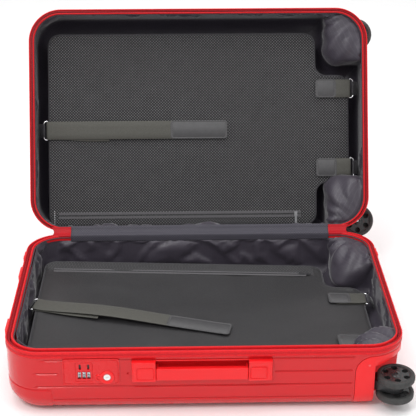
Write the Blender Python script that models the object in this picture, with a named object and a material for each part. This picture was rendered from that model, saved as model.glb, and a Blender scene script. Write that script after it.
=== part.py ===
"""Hard shell suitcase on spinner wheels, lying open on its back. Metres, +Z up.

Each half is modelled in the same half frame: +X towards the wheels, Z from the outer
face (0) up to the rim, Y across the case. The lower half stands in the world as it is,
with its hinge at +Y. The lid half hangs on the hinge axis, with its hinge at -Y.
"""
import math

import bmesh
import bpy
from mathutils import Matrix, Vector

# Case
LENGTH = 0.655
WIDTH = 0.428
RIM_Z = 0.1196
CORNER_RADIUS = 0.062
EDGE_RADIUS = 0.038
WALL = 0.003
RIM_PROUD = 0.0012
SHELL_TOP = 0.1080
HALF_X = LENGTH / 2
HALF_Y = WIDTH / 2
WALL_Y = HALF_Y - RIM_PROUD
WALL_X = HALF_X - RIM_PROUD
GAP = 0.0003
CORNER_STEPS = 5
EDGE_STEPS = 4

# Hinge
HINGE_Y = HALF_Y + 0.003
HINGE_Z = RIM_Z + 0.001
LID_TILT = math.radians(65)
COVER_RADIUS = 0.002
COVER_X = (-0.236, 0.208)

# Ribs of the shells
RIB_PITCH = 0.0248
RIB_WIDTH = 0.0044
RIB_DEPTH = 0.0013
RIB_X = (-0.262, 0.240)
LOWEST_RIB_Z = 0.0286
FLOOR_RIBS = 12

# Corner housings and wheel wells
HOUSING_X = 0.2447
HOUSING_Y = 0.1285
HOUSING_TOP = 0.1035
HOUSING_ROUND = 0.030
HOUSING_GAP = 0.0006
SWIVEL_Y = 0.1850
SWIVEL_Z = 0.042
WELL_X = 0.2765
WELL_RADIUS = 0.0515

# Casters
TRAIL = 0.015
AXLE_X = 0.3135
WHEEL_RADIUS = 0.0315
DISC_THICKNESS = 0.012
DISC_GAP = 0.019
ARM_THICKNESS = 0.0174
AXLE_RADIUS = 0.003
STEM_RADIUS = 0.005
WHEEL_STEPS = 18
HOLE_PITCH_RADIUS = 0.0188
HOLE_RADIUS = 0.0053
HOLES = 6

# Lock
LOCK_X = (-0.230, -0.138)
LOCK_Z = (0.0590, 0.1070)
LOCK_FRONT = -HALF_Y - 0.0008
LOCK_BACK = -0.2060
DIAL_XS = (-0.2029, -0.1953, -0.1877)
DIAL_Z = 0.0765
DIAL_RADIUS = 0.0065
DIAL_WIDTH = 0.0050
DIAL_PROUD = 0.0013
SLOT_XS = (-0.2017, -0.1881)
SLOT_Z = 0.0920
SLOT_FLOOR = -0.2092
KEY_X = -0.1585
KEY_Z = 0.0725
KEY_RADIUS = 0.0058
RELEASE_X = -0.1712
RELEASE_RADIUS = 0.0030

# Carry handles, in the frame of a wall that faces -Y with its middle at the origin
HANDLE_HALF = 0.1137
HANDLE_X = -0.0046
HANDLE_Z = (0.0665, 0.1024)
HANDLE_BLOCK = 0.0385
HANDLE_PROUD = 0.0085
HANDLE_ROOF = -0.0050
HANDLE_FOOT = 0.0080
HANDLE_TRAVEL = 0.0120
TRAY_DEPTH = 0.0125
TRAY_WALL = 0.0020
GRIP_Z = (0.0688, 0.0905)
GRIP_THICKNESS = 0.0085

# Trolley
TROLLEY_Z = 0.0196
TROLLEY_Y = 0.0700
BEZEL_X = (-0.3080, -0.2880)
BEZEL_Y = 0.0930
BEZEL_Z = (0.0065, 0.0328)
BEZEL_WALL = 0.0020
TUBE = 0.0140
TUBE_WALL = 0.0012
TUBE_END = 0.1150
INNER_TUBE = 0.0108
INNER_END = 0.1100
ANCHOR_X = (0.1050, 0.1100)
GRIP_FOOT = -0.2960
GRIP_BACK = -0.3070
FINGER_GAP_Z = 0.0222
BUTTON_BACK = -0.3120
BUTTON_Y = 0.0100
BUTTON_Z = (0.0118, 0.0186)
BUTTON_TRAVEL = 0.0030

# Linings
LINING_WALL = 0.0015
LINING_TOP = 0.1078
LOWER_LINING = {"insets": (0.0160, 0.0050, 0.0160, 0.0050), "floor": 0.0335, "edge": 0.022,
                "corners": (0.057, 0.047, 0.040, 0.047)}
LID_LINING = {"insets": (0.0050, 0.0050, 0.0050, 0.0050), "floor": 0.0040, "edge": 0.033,
              "corners": (0.057, 0.057, 0.057, 0.057)}
BULGE_X = 0.2650
BULGE_Y = 0.1262
BULGE_TOP = 0.1050

# Divider panels
PANEL_TOP = 0.0680
PANEL_THICKNESS = 0.0050
PANEL_X = 0.2950
PANEL_Y = 0.1885
PANEL_ROUND = 0.022
TONGUE_X = 0.2300
TONGUE_Y = 0.1050
LOWER_PANEL_Y = -0.0060
LID_PANEL_Y = -0.0175
LOWER_PANEL_TILT = math.radians(1.9)

# Straps, tabs, rings and sliders
STRAP_WIDTH = 0.0360
STRAP_THICKNESS = 0.0030
STRAP_X = (-0.2955, 0.0560)
LID_STRAP_Y = -0.0170
LOWER_STRAP_Y = 0.0100
LOWER_STRAP_SLANT = math.radians(-12.5)
TAB_X = (0.2310, 0.2955)
LOWER_TAB_YS = (0.0520, -0.0950)
LID_TAB_YS = (0.0620, -0.0940)
RING_WIRE = 0.0013
RING_LENGTH = 0.0105
RING_WIDTH = 0.0400
MAIN_SLIDER_Y = 0.1250
MAIN_SLIDER_THICKNESS = 0.0022

RED = (0.62, 0.02, 0.035)
BRIGHT_RED = (0.78, 0.025, 0.04)
BLACK = (0.02, 0.02, 0.021)
FABRIC_GREY = (0.045, 0.042, 0.052)


def clear_scene():
    for obj in list(bpy.data.objects):
        bpy.data.objects.remove(obj, do_unlink=True)


def make_material(name, colour, roughness, metallic=0.0):
    material = bpy.data.materials.new(name)
    material.use_nodes = True
    shader = material.node_tree.nodes["Principled BSDF"]
    shader.inputs["Base Color"].default_value = (*colour, 1.0)
    shader.inputs["Roughness"].default_value = roughness
    shader.inputs["Metallic"].default_value = metallic
    return material


# ---------------------------------------------------------------- mesh helpers

def add_object(name, bm, material, parent=None, location=(0, 0, 0), smooth_angle=None):
    """Link a bmesh as a named object in its parent's frame."""
    bmesh.ops.recalc_face_normals(bm, faces=bm.faces)
    mesh = bpy.data.meshes.new(name)
    bm.to_mesh(mesh)
    bm.free()
    return link_mesh(name, mesh, material, parent, location, smooth_angle)


def link_mesh(name, mesh, material, parent=None, location=(0, 0, 0), smooth_angle=None):
    obj = bpy.data.objects.new(name, mesh)
    if not mesh.materials:
        mesh.materials.append(material)
    if smooth_angle is not None:
        mesh.shade_smooth()
        mesh.set_sharp_from_angle(angle=math.radians(smooth_angle))
    obj.parent = parent
    obj.location = location
    bpy.context.scene.collection.objects.link(obj)
    return obj


def add_empty(name, parent=None, location=(0, 0, 0), rotation=(0, 0, 0)):
    empty = bpy.data.objects.new(name, None)
    empty.parent = parent
    empty.location = location
    empty.rotation_euler = rotation
    bpy.context.scene.collection.objects.link(empty)
    return empty


def cut(bm, cutter, operation="DIFFERENCE"):
    """Combine two bmeshes with an exact Boolean and return the result."""
    bmesh.ops.recalc_face_normals(bm, faces=bm.faces)
    bmesh.ops.recalc_face_normals(cutter, faces=cutter.faces)
    meshes = [bpy.data.meshes.new("boolean_body"), bpy.data.meshes.new("boolean_tool")]
    bm.to_mesh(meshes[0])
    cutter.to_mesh(meshes[1])
    bm.free()
    cutter.free()
    body = bpy.data.objects.new("boolean_body", meshes[0])
    tool = bpy.data.objects.new("boolean_tool", meshes[1])
    for obj in (body, tool):
        bpy.context.scene.collection.objects.link(obj)
    modifier = body.modifiers.new("boolean", "BOOLEAN")
    modifier.solver = "EXACT"
    modifier.operation = operation
    modifier.object = tool
    bpy.context.view_layer.update()
    graph = bpy.context.evaluated_depsgraph_get()
    mesh = bpy.data.meshes.new_from_object(body.evaluated_get(graph))
    result = bmesh.new()
    result.from_mesh(mesh)
    bpy.data.meshes.remove(mesh)
    for obj in (body, tool):
        bpy.data.objects.remove(obj, do_unlink=True)
    for mesh in meshes:
        bpy.data.meshes.remove(mesh)
    return result


def union(bm, *others):
    for other in others:
        bm = cut(bm, other, "UNION")
    return bm


def loft(loops, closed=False):
    """Skin loops that have the same number of points; cap the ends unless closed."""
    bm = bmesh.new()
    rings = [[bm.verts.new(point) for point in loop] for loop in loops]
    count = len(rings[0])
    pairs = list(zip(rings, rings[1:]))
    if closed:
        pairs.append((rings[-1], rings[0]))
    for low, high in pairs:
        for i in range(count):
            j = (i + 1) % count
            bm.faces.new((low[i], low[j], high[j], high[i]))
    if not closed:
        bm.faces.new(rings[0][::-1])
        bm.faces.new(rings[-1])
    return bm


def box(x, y, z):
    """A box from three (low, high) pairs."""
    bm = bmesh.new()
    bmesh.ops.create_cube(bm, size=1.0)
    centre = Vector([(a + b) / 2 for a, b in (x, y, z)])
    size = Vector([b - a for a, b in (x, y, z)])
    for vert in bm.verts:
        vert.co = centre + Vector([vert.co[i] * size[i] for i in range(3)])
    return bm


def prism(outline, axis, low, high):
    """Extrude a plane outline along an axis: (x, z) for Y, (x, y) for Z, (y, z) for X."""
    def at(point, height):
        if axis == "Y":
            return (point[0], height, point[1])
        if axis == "Z":
            return (point[0], point[1], height)
        return (height, point[0], point[1])
    return loft([[at(p, low) for p in outline], [at(p, high) for p in outline]])


def arc(centre, radius, start, end, steps):
    """Points on an arc, angles in degrees."""
    points = []
    for i in range(steps + 1):
        angle = math.radians(start + (end - start) * i / steps)
        points.append((centre[0] + radius * math.cos(angle), centre[1] + radius * math.sin(angle)))
    return points


def rounded_rectangle(x, y, radii, steps=CORNER_STEPS):
    """Anticlockwise outline; one radius, or four from the +X +Y corner onwards."""
    outline = []
    if isinstance(radii, float):
        radii = (radii,) * 4
    corners = ((x[1], y[1], -1, -1, 0), (x[0], y[1], 1, -1, 90),
               (x[0], y[0], 1, 1, 180), (x[1], y[0], -1, 1, 270))
    for radius, (corner_x, corner_y, side_x, side_y, start) in zip(radii, corners):
        centre = (corner_x + side_x * radius, corner_y + side_y * radius)
        outline += arc(centre, radius, start, start + 90, steps)
    return outline


def cylinder(axis, centre, radius, low, high, steps=24):
    """A cylinder along an axis; centre gives the two other coordinates in order."""
    outline = arc(centre, radius, 0, 360, steps)[:-1]
    return prism(outline, axis, low, high)


def mirror_y(bm):
    for vert in bm.verts:
        vert.co.y = -vert.co.y
    bmesh.ops.reverse_faces(bm, faces=bm.faces)
    return bm


def turned(bm, matrix):
    bmesh.ops.transform(bm, matrix=matrix, verts=bm.verts)
    return bm


# ---------------------------------------------------------------- case halves

def bowl_loops(insets, floor, top, edge, corners):
    """Loops of a rounded box, floor to top; insets are -X, +X, -Y, +Y from the rim."""
    loops = []
    left, right, front, back = insets
    for i in range(EDGE_STEPS + 1):
        angle = math.pi / 2 * i / EDGE_STEPS
        inset = edge * (1 - math.sin(angle))
        x = (-HALF_X + left + inset, HALF_X - right - inset)
        y = (-HALF_Y + front + inset, HALF_Y - back - inset)
        z = floor + edge * (1 - math.cos(angle))
        radii = [corner - inset for corner in corners]
        loops.append([(*p, z) for p in rounded_rectangle(x, y, radii)])
    loops.append([(*p[:2], top) for p in loops[-1]])
    return loops


def outer_loops(top=SHELL_TOP):
    insets = (RIM_PROUD,) * 4
    return bowl_loops(insets, 0.0, top, EDGE_RADIUS, (CORNER_RADIUS - RIM_PROUD,) * 4)


def inner_loops(top=SHELL_TOP):
    inset = RIM_PROUD + WALL
    corners = (CORNER_RADIUS - inset,) * 4
    return bowl_loops((inset,) * 4, WALL, top, EDGE_RADIUS - WALL, corners)


def edge_inset(z):
    """How far the outer face has turned in at a height within the rounded lower edge."""
    sine = max(0.0, 1 - z / EDGE_RADIUS)
    return EDGE_RADIUS * (1 - math.sqrt(1 - sine * sine))


def rib_profile(height, depth, outside):
    """A shallow V groove with a flat floor, as (across, along the wall) points."""
    half = RIB_WIDTH / 2
    return [(outside, height - half), (outside, height + half),
            (depth, height + half / 2), (depth, height - half / 2)]


def cut_ribs(bm):
    """Lengthwise grooves in the two long walls and in the big face."""
    for side in (-1, 1):
        for i in range(4):
            height = LOWEST_RIB_Z + i * RIB_PITCH
            depth = WALL_Y - edge_inset(height) - RIB_DEPTH
            outline = rib_profile(height, side * depth, side * (WALL_Y + 0.001))
            bm = cut(bm, prism(outline, "X", *RIB_X))
    for i in range(FLOOR_RIBS):
        across = (i - (FLOOR_RIBS - 1) / 2) * RIB_PITCH
        outline = [(b, a) for a, b in rib_profile(across, RIB_DEPTH, -0.001)]
        bm = cut(bm, prism(outline, "X", *RIB_X))
    return bm


def housing_region(gap):
    """The block of a wheel corner, front side, that the housing fills."""
    left = HOUSING_X - gap
    top = HOUSING_TOP + gap
    outline = [(0.36, -0.01), (0.36, top)]
    outline += arc((left + HOUSING_ROUND, top - HOUSING_ROUND), HOUSING_ROUND, 90, 180, 5)
    outline.append((left, -0.01))
    return prism(outline, "Y", -0.25, -HOUSING_Y + gap)


def shell_mesh(name):
    loops = outer_loops() + inner_loops()[::-1]
    bm = loft(loops)
    bm = cut(bm, housing_region(HOUSING_GAP))
    bm = cut(bm, mirror_y(housing_region(HOUSING_GAP)))
    bm = cut_ribs(bm)
    if name == "lower_shell":
        bm = cut_lower_openings(bm)
    return bm


def cut_lower_openings(bm):
    """Openings for the lock, the carry handles and the trolley."""
    inside = 0.004
    lock_x = (LOCK_X[0] + inside - GAP, LOCK_X[1] - inside + GAP)
    lock_z = (LOCK_Z[0] + inside - GAP, LOCK_Z[1] - inside + GAP)
    bm = cut(bm, box(lock_x, (-0.23, -0.20), lock_z))
    handle_z = (HANDLE_Z[0] - GAP, HANDLE_Z[1] + GAP)
    ends = (HANDLE_X - HANDLE_HALF - GAP, HANDLE_X + HANDLE_HALF + GAP)
    bm = cut(bm, box(ends, (-0.23, -0.20), handle_z))
    bm = cut(bm, box((-0.35, -0.31), (-HANDLE_HALF - GAP, HANDLE_HALF + GAP), handle_z))
    bezel_y = (-BEZEL_Y - GAP, BEZEL_Y + GAP)
    bm = cut(bm, box((-0.35, -0.29), bezel_y, (BEZEL_Z[0] - GAP, BEZEL_Z[1] + GAP)))
    return bm


def zip_tape_mesh():
    """The rim band: two ridges with the zip's groove between them."""
    section = ((0.0, 0.1083), (0.0, 0.1178), (0.0018, RIM_Z), (0.0042, 0.1184),
               (0.0050, 0.1168), (0.0066, 0.1168), (0.0074, 0.1184), (0.0096, RIM_Z),
               (0.0113, 0.1183), (0.0113, 0.1083))
    loops = []
    for inset, z in section:
        x = (-HALF_X + inset, HALF_X - inset)
        y = (-HALF_Y + inset, HALF_Y - inset)
        loops.append([(*p, z) for p in rounded_rectangle(x, y, CORNER_RADIUS - inset)])
    return loft(loops, closed=True)


def lining_mesh(spec, reaches):
    """A thin fabric tub with a hollow bulge over each wheel well."""
    insets, floor, edge = spec["insets"], spec["floor"], spec["edge"]
    outer = loft(bowl_loops(insets, floor, LINING_TOP, edge, spec["corners"]))
    thicker = [inset + LINING_WALL for inset in insets]
    tighter = [corner - LINING_WALL for corner in spec["corners"]]
    inner = loft(bowl_loops(thicker, floor + LINING_WALL, LINING_TOP + 0.01,
                            edge - LINING_WALL, tighter))
    for reach in reaches:
        side = (reach, 0.3) if reach > 0 else (-0.3, reach)
        outer = cut(outer, box((BULGE_X, 0.4), side, (-0.1, BULGE_TOP - LINING_WALL)))
        grown = reach - math.copysign(LINING_WALL, reach)
        side = (grown, 0.3) if reach > 0 else (-0.3, grown)
        inner = cut(inner, box((BULGE_X - LINING_WALL, 0.4), side, (-0.1, BULGE_TOP)))
    return cut(outer, inner)


def housing_mesh():
    """A corner skin with a round well for the caster, open at the shell's inside."""
    skin = cut(loft(outer_loops(0.2)), housing_region(0.0), "INTERSECT")
    hollow = loft(inner_loops(0.3))
    centre = (-SWIVEL_Y, SWIVEL_Z)
    hollow = cut(hollow, cylinder("X", centre, WELL_RADIUS + WALL, WELL_X - WALL, 0.4, 32))
    skin = cut(skin, hollow)
    skin = cut(skin, cylinder("X", centre, WELL_RADIUS, WELL_X, 0.4, 32))
    return cut(skin, cylinder("X", centre, STEM_RADIUS + GAP, 0.25, 0.29, 16))


# ---------------------------------------------------------------- casters

def fork_mesh():
    """Stem, cap and arm, with the swivel axis along X through the origin."""
    plate = WELL_X + GAP
    stem = cylinder("X", (0, 0), STEM_RADIUS, WELL_X - WALL - 0.0030, plate + 0.001, 16)
    cap = cylinder("X", (0, 0), 0.0160, plate, plate + 0.0032, 20)
    nose = 0.0092
    outline = arc((AXLE_X, -TRAIL), nose, -115, 75, 8)
    outline += [(plate + 0.0015, 0.0105), (plate + 0.0015, -0.0145)]
    arm = prism(outline, "Z", -ARM_THICKNESS / 2, ARM_THICKNESS / 2)
    fork = union(cap, stem, arm)
    return cut(fork, cylinder("Z", (AXLE_X, -TRAIL), AXLE_RADIUS + 0.0001, -0.02, 0.02, 16))


def wheel_mesh():
    """One disc, its axis along Z, its inner face at the origin."""
    t = DISC_THICKNESS
    r = WHEEL_RADIUS
    section = ((AXLE_RADIUS + GAP, 0.0), (r - 0.0045, 0.0), (r - 0.0010, 0.0014), (r, 0.0036),
               (r, t - 0.0036), (r - 0.0010, t - 0.0014), (r - 0.0040, t))
    loops = [[(*p, z) for p in arc((0, 0), radius, 0, 360, WHEEL_STEPS)[:-1]]
             for radius, z in section]
    bore = [(*p, 0.0092) for p in arc((0, 0), AXLE_RADIUS + GAP, 0, 360, WHEEL_STEPS)[:-1]]
    bm = loft([bore] + loops)
    for i in range(HOLES):
        angle = 2 * math.pi * (i + 0.5) / HOLES
        centre = (HOLE_PITCH_RADIUS * math.cos(angle), HOLE_PITCH_RADIUS * math.sin(angle))
        bm = cut(bm, cylinder("Z", centre, HOLE_RADIUS, -0.01, 0.03, 8))
    return bm


def build_casters(half_name, half, materials, wheel_data):
    for side_name, side in (("front", -1), ("back", 1)):
        label = f"{half_name}_{side_name}"
        swivel = add_empty(f"{label}_swivel", half, (0, side * SWIVEL_Y, SWIVEL_Z))
        add_object(f"{label}_fork", fork_mesh(), materials["caster"], swivel, smooth_angle=35)
        axle = cylinder("Z", (0, 0), AXLE_RADIUS, -0.0180, 0.0180, 16)
        add_object(f"{label}_axle", axle, materials["steel"], swivel,
                   (AXLE_X, -TRAIL, 0), smooth_angle=35)
        for wheel_name, turn in (("inner", -1), ("outer", 1)):
            wheel = link_mesh(f"{label}_wheel_{wheel_name}", wheel_data, materials["wheel"],
                              swivel, (AXLE_X, -TRAIL, -turn * DISC_GAP / 2))
            wheel.rotation_euler = (math.pi if turn > 0 else 0, 0, 0)


# ---------------------------------------------------------------- lock

def lock_plate_mesh():
    flange = prism(rounded_rectangle(LOCK_X, LOCK_Z, 0.005, 4), "Y", LOCK_FRONT, -WALL_Y - GAP)
    inside = 0.004
    body = box((LOCK_X[0] + inside, LOCK_X[1] - inside), (-WALL_Y - 0.001, LOCK_BACK),
               (LOCK_Z[0] + inside, LOCK_Z[1] - inside))
    bm = union(flange, body)
    for x in DIAL_XS:
        window = (x - DIAL_WIDTH / 2 - GAP, x + DIAL_WIDTH / 2 + GAP)
        bm = cut(bm, box(window, (-0.23, -0.20), (DIAL_Z - 0.0068, DIAL_Z + 0.0068)))
    for x in SLOT_XS:
        slot = rounded_rectangle((x - 0.00175, x + 0.00175), (SLOT_Z - 0.0053, SLOT_Z + 0.0053),
                                 0.0017, 2)
        bm = cut(bm, prism(slot, "Y", -0.23, SLOT_FLOOR))
    lobes = [cylinder("Y", (KEY_X, KEY_Z), 0.0098, LOCK_FRONT - 0.0010, -WALL_Y, 20),
             cylinder("Y", (RELEASE_X, KEY_Z), 0.0060, LOCK_FRONT - 0.0010, -WALL_Y, 16)]
    bm = union(bm, *lobes)
    bm = cut(bm, cylinder("Y", (KEY_X, KEY_Z), KEY_RADIUS + GAP, -0.23, -0.2080, 20))
    return cut(bm, cylinder("Y", (RELEASE_X, KEY_Z), RELEASE_RADIUS + GAP, -0.23, -0.2080, 12))


def build_lock(half, materials):
    add_object("lock_plate", lock_plate_mesh(), materials["bright_red"], half, smooth_angle=35)
    dial_y = LOCK_FRONT - DIAL_PROUD + DIAL_RADIUS
    for i, x in enumerate(DIAL_XS):
        dial = cylinder("X", (0, 0), DIAL_RADIUS, -DIAL_WIDTH / 2, DIAL_WIDTH / 2, 20)
        add_object(f"dial_{i + 1}", dial, materials["dial"], half, (x, dial_y, DIAL_Z), 35)
    key = cylinder("Y", (0, 0), KEY_RADIUS, -0.0012, 0.0060, 20)
    key = cut(key, box((-0.0030, 0.0030), (-0.01, 0.0015), (-0.0007, 0.0007)))
    add_object("key_cylinder", key, materials["steel"], half, (KEY_X, LOCK_FRONT, KEY_Z), 35)
    button = cylinder("Y", (0, 0), RELEASE_RADIUS, -0.0016, 0.0030, 12)
    add_object("release_button", button, materials["bright_red"], half,
               (RELEASE_X, LOCK_FRONT, KEY_Z), 35)


# ---------------------------------------------------------------- carry handles

def handle_base_mesh():
    """Tray with an end block at each end; wall at Y 0, outside towards -Y."""
    low, high = HANDLE_Z
    inner = HANDLE_HALF - HANDLE_BLOCK
    pocket = inner + HANDLE_FOOT
    floor = TRAY_DEPTH - TRAY_WALL
    right = [(HANDLE_HALF, TRAY_DEPTH), (HANDLE_HALF, -HANDLE_PROUD + 0.002),
             (HANDLE_HALF - 0.002, -HANDLE_PROUD), (inner, -HANDLE_PROUD),
             (inner, HANDLE_ROOF), (pocket, HANDLE_ROOF), (pocket, floor), (0.0, floor)]
    left = [(-x, y) for x, y in right[::-1]]
    bm = prism(right + left[1:], "Z", low, high)
    lap = 0.0005
    for z in ((low, low + TRAY_WALL), (high - TRAY_WALL, high)):
        bm = union(bm, box((-pocket - lap, pocket + lap), (0.0, floor + lap), z))
        for x in ((inner, pocket + lap), (-pocket - lap, -inner)):
            bm = union(bm, box(x, (HANDLE_ROOF - lap, lap), z))
    return bm


def handle_grip_mesh():
    """The bar between the end blocks, with a hooked leg at each end."""
    half = HANDLE_HALF - HANDLE_BLOCK - 0.0005
    low, high = GRIP_Z
    front = -HANDLE_PROUD - 0.0002
    heel = TRAY_DEPTH - TRAY_WALL - 0.0005
    toe = HANDLE_ROOF + HANDLE_TRAVEL + 0.0004
    reach = half + HANDLE_FOOT - 0.0015
    leg = half - 0.0040
    back = front + GRIP_THICKNESS
    right = [(half, front + 0.0015), (half, toe), (reach, toe), (reach, heel), (leg, heel),
             (leg, back), (0.0, back)]
    left = [(-x, y) for x, y in right[::-1]]
    outline = [(half - 0.0015, front)] + right + left[1:] + [(-half + 0.0015, front)]
    return prism(outline, "Z", low, high)


def build_handles(half, materials):
    places = (("side_handle", (HANDLE_X, -WALL_Y, 0), 0.0),
              ("top_handle", (-WALL_X, 0, 0), -math.pi / 2))
    for name, location, turn in places:
        frame = add_empty(f"{name}_frame", half, location, (0, 0, turn))
        add_object(f"{name}_base", handle_base_mesh(), materials["bright_red"], frame)
        add_object(f"{name}_grip", handle_grip_mesh(), materials["bright_red"], frame)


# ---------------------------------------------------------------- trolley

def tube_box(side, size, low, high):
    half = size / 2
    y = (side * TROLLEY_Y - half, side * TROLLEY_Y + half)
    return box((low, high), y, (TROLLEY_Z - half, TROLLEY_Z + half))


def trolley_housing_mesh():
    """Bezel cup, two outer tubes and the anchor bar at their far end, as one piece."""
    wall = BEZEL_WALL
    bm = box(BEZEL_X, (-BEZEL_Y, BEZEL_Y), BEZEL_Z)
    bm = cut(bm, box((-0.35, BEZEL_X[1] - wall), (-BEZEL_Y + wall, BEZEL_Y - wall),
                     (BEZEL_Z[0] + wall, BEZEL_Z[1] - wall)))
    anchor = box(ANCHOR_X, (-TROLLEY_Y - 0.015, TROLLEY_Y + 0.015),
                 (TROLLEY_Z - 0.0095, TROLLEY_Z + 0.0095))
    tubes = [tube_box(side, TUBE, BEZEL_X[1] - 0.001, TUBE_END) for side in (-1, 1)]
    bm = union(bm, anchor, *tubes)
    for side in (-1, 1):
        bm = cut(bm, tube_box(side, TUBE - 2 * TUBE_WALL, -0.30, TUBE_END + 0.01))
    return bm


def grip_front(z):
    """The grip's outer face, a little inside the rounded edge of the shell."""
    return -WALL_X + 0.0012 + edge_inset(z)


def trolley_grip_mesh():
    """A bar that follows the rounded edge, on two legs, with finger room above it."""
    low = BEZEL_Z[0] + BEZEL_WALL + 0.0005
    high = BEZEL_Z[1] - BEZEL_WALL - 0.0005
    heights = [high + (low - high) * i / 5 for i in range(6)]
    outline = [(GRIP_FOOT, low), (GRIP_FOOT, high)] + [(grip_front(z), z) for z in heights]
    reach = BEZEL_Y - 0.0035
    bm = prism(outline, "Y", -reach, reach)
    finger = (-TROLLEY_Y + 0.0100, TROLLEY_Y - 0.0100)
    bm = cut(bm, box((GRIP_BACK, -0.29), finger, (0.0, 0.05)))
    bm = cut(bm, box((-0.35, GRIP_BACK + 0.001), finger, (FINGER_GAP_Z, 0.05)))
    pocket = box((-0.34, BUTTON_BACK + BUTTON_TRAVEL + GAP), (-BUTTON_Y - GAP, BUTTON_Y + GAP),
                 (BUTTON_Z[0] - GAP, BUTTON_Z[1] + GAP))
    return cut(bm, pocket)


def build_trolley(half, materials):
    add_object("trolley_housing", trolley_housing_mesh(), materials["dark"], half)
    stage = add_empty("trolley_stage", half)
    for label, side in (("front", -1), ("back", 1)):
        tube = tube_box(side, INNER_TUBE, GRIP_FOOT + GAP, INNER_END)
        bore = tube_box(side, INNER_TUBE - 0.0020, GRIP_FOOT + 0.0020, INNER_END + 0.01)
        add_object(f"trolley_tube_{label}", cut(tube, bore), materials["aluminium"], stage)
    add_object("trolley_grip", trolley_grip_mesh(), materials["dark"], stage)
    outline = [(grip_front(z) + 0.0002, z) for z in BUTTON_Z]
    outline += [(BUTTON_BACK, z) for z in BUTTON_Z[::-1]]
    button = prism(outline, "Y", -BUTTON_Y, BUTTON_Y)
    add_object("trolley_button", button, materials["steel"], stage)


# ---------------------------------------------------------------- divider panels

def panel_outline():
    """Panel with two notches that clear the wheel wells, rounded at every corner."""
    r = PANEL_ROUND
    outer = arc((PANEL_X - r, -TONGUE_Y + r), r, -90, 0, 4)
    outer += arc((PANEL_X - r, TONGUE_Y - r), r, 0, 90, 4)
    outer += arc((TONGUE_X + r, TONGUE_Y + r), r, 270, 180, 4)
    outer += arc((TONGUE_X - r, PANEL_Y - r), r, 0, 90, 4)
    outer += arc((-PANEL_X + r, PANEL_Y - r), r, 90, 180, 4)
    outer += arc((-PANEL_X + r, -PANEL_Y + r), r, 180, 270, 4)
    outer += arc((TONGUE_X - r, -PANEL_Y + r), r, 270, 360, 4)
    outer += arc((TONGUE_X + r, -TONGUE_Y - r), r, 180, 90, 4)
    return outer


def strap_mesh(x, y, z, slant=0.0):
    """A flat strap with round corners, turned about its left end."""
    outline = rounded_rectangle((0, x[1] - x[0]), (-STRAP_WIDTH / 2, STRAP_WIDTH / 2), 0.006, 3)
    bm = prism(outline, "Z", z, z + STRAP_THICKNESS)
    return turned(bm, Matrix.Translation((x[0], y, 0)) @ Matrix.Rotation(slant, 4, "Z"))


def ring_mesh():
    """A D of wire: a straight bar along Y at the origin, the bow towards +X."""
    radius = RING_WIRE
    half = RING_WIDTH / 2 - radius
    bow = RING_LENGTH - 2 * radius
    path = [(0, -half), (0, 0), (0, half)]
    path += [(bow * math.sin(a), half * math.cos(a)) for a in
             (math.pi * i / 8 for i in range(1, 8))]
    loops = []
    count = len(path)
    for i, point in enumerate(path):
        before = Vector(path[i - 1])
        after = Vector(path[(i + 1) % count])
        along = (after - before).normalized()
        across = Vector((along.y, -along.x))
        loop = []
        for k in range(6):
            angle = 2 * math.pi * k / 6
            offset = across * (radius * math.cos(angle))
            loop.append((point[0] + offset.x, point[1] + offset.y, radius * math.sin(angle)))
        loops.append(loop)
    return loft(loops, closed=True)


def pocket_slider_mesh():
    """Slider body with its pull tab lying flat, pointing towards +X."""
    body = box((-0.0045, 0.0045), (-0.0030, 0.0030), (0.0, 0.0022))
    pull = box((0.0035, 0.0185), (-0.0022, 0.0022), (0.0008, 0.0020))
    return union(body, pull)


def build_divider(name, half, materials):
    lower = name == "lower"
    centre_y = LOWER_PANEL_Y if lower else LID_PANEL_Y
    tilt = LOWER_PANEL_TILT if lower else 0.0
    frame = add_empty(f"{name}_divider_frame", half, (0, 0, PANEL_TOP), (0, tilt, 0))
    outline = [(x, y + centre_y) for x, y in panel_outline()]
    add_object(f"{name}_divider", prism(outline, "Z", -PANEL_THICKNESS, 0),
               materials["panel"], frame)
    strap_y = LOWER_STRAP_Y if lower else LID_STRAP_Y
    slant = LOWER_STRAP_SLANT if lower else 0.0
    add_object(f"{name}_strap", strap_mesh(STRAP_X, strap_y, GAP, slant), materials["strap"], frame)
    tab_ys = LOWER_TAB_YS if lower else LID_TAB_YS
    for label, y in zip(("back", "front"), tab_ys):
        add_object(f"{name}_tab_{label}", strap_mesh(TAB_X, y, GAP), materials["strap"], frame)
    slider_y = centre_y + (PANEL_Y - 0.036 if lower else -PANEL_Y + 0.021)
    slider = add_object(f"{name}_pocket_slider", pocket_slider_mesh(), materials["dark"],
                        frame, (0.1900, slider_y, GAP))
    slider.rotation_euler = (0, 0, 0 if lower else -math.pi / 2)
    build_rings(name, frame, materials, strap_y, slant, tab_ys)


def build_rings(name, frame, materials, strap_y, slant, tab_ys):
    """A ring at the outer end of the strap and of each tab, its bar against the fold."""
    lift = GAP + STRAP_THICKNESS / 2
    offset = RING_WIRE + 0.0008
    place = (STRAP_X[0] - offset * math.cos(slant), strap_y - offset * math.sin(slant), lift)
    ring = add_object(f"{name}_ring_left", ring_mesh(), materials["steel"], frame, place, 60)
    ring.rotation_euler = (0, 0, math.pi + slant)
    for label, y in zip(("back", "front"), tab_ys):
        add_object(f"{name}_ring_{label}", ring_mesh(), materials["steel"], frame,
                   (TAB_X[1] + offset, y, lift), 60)


# ---------------------------------------------------------------- main zip

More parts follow.
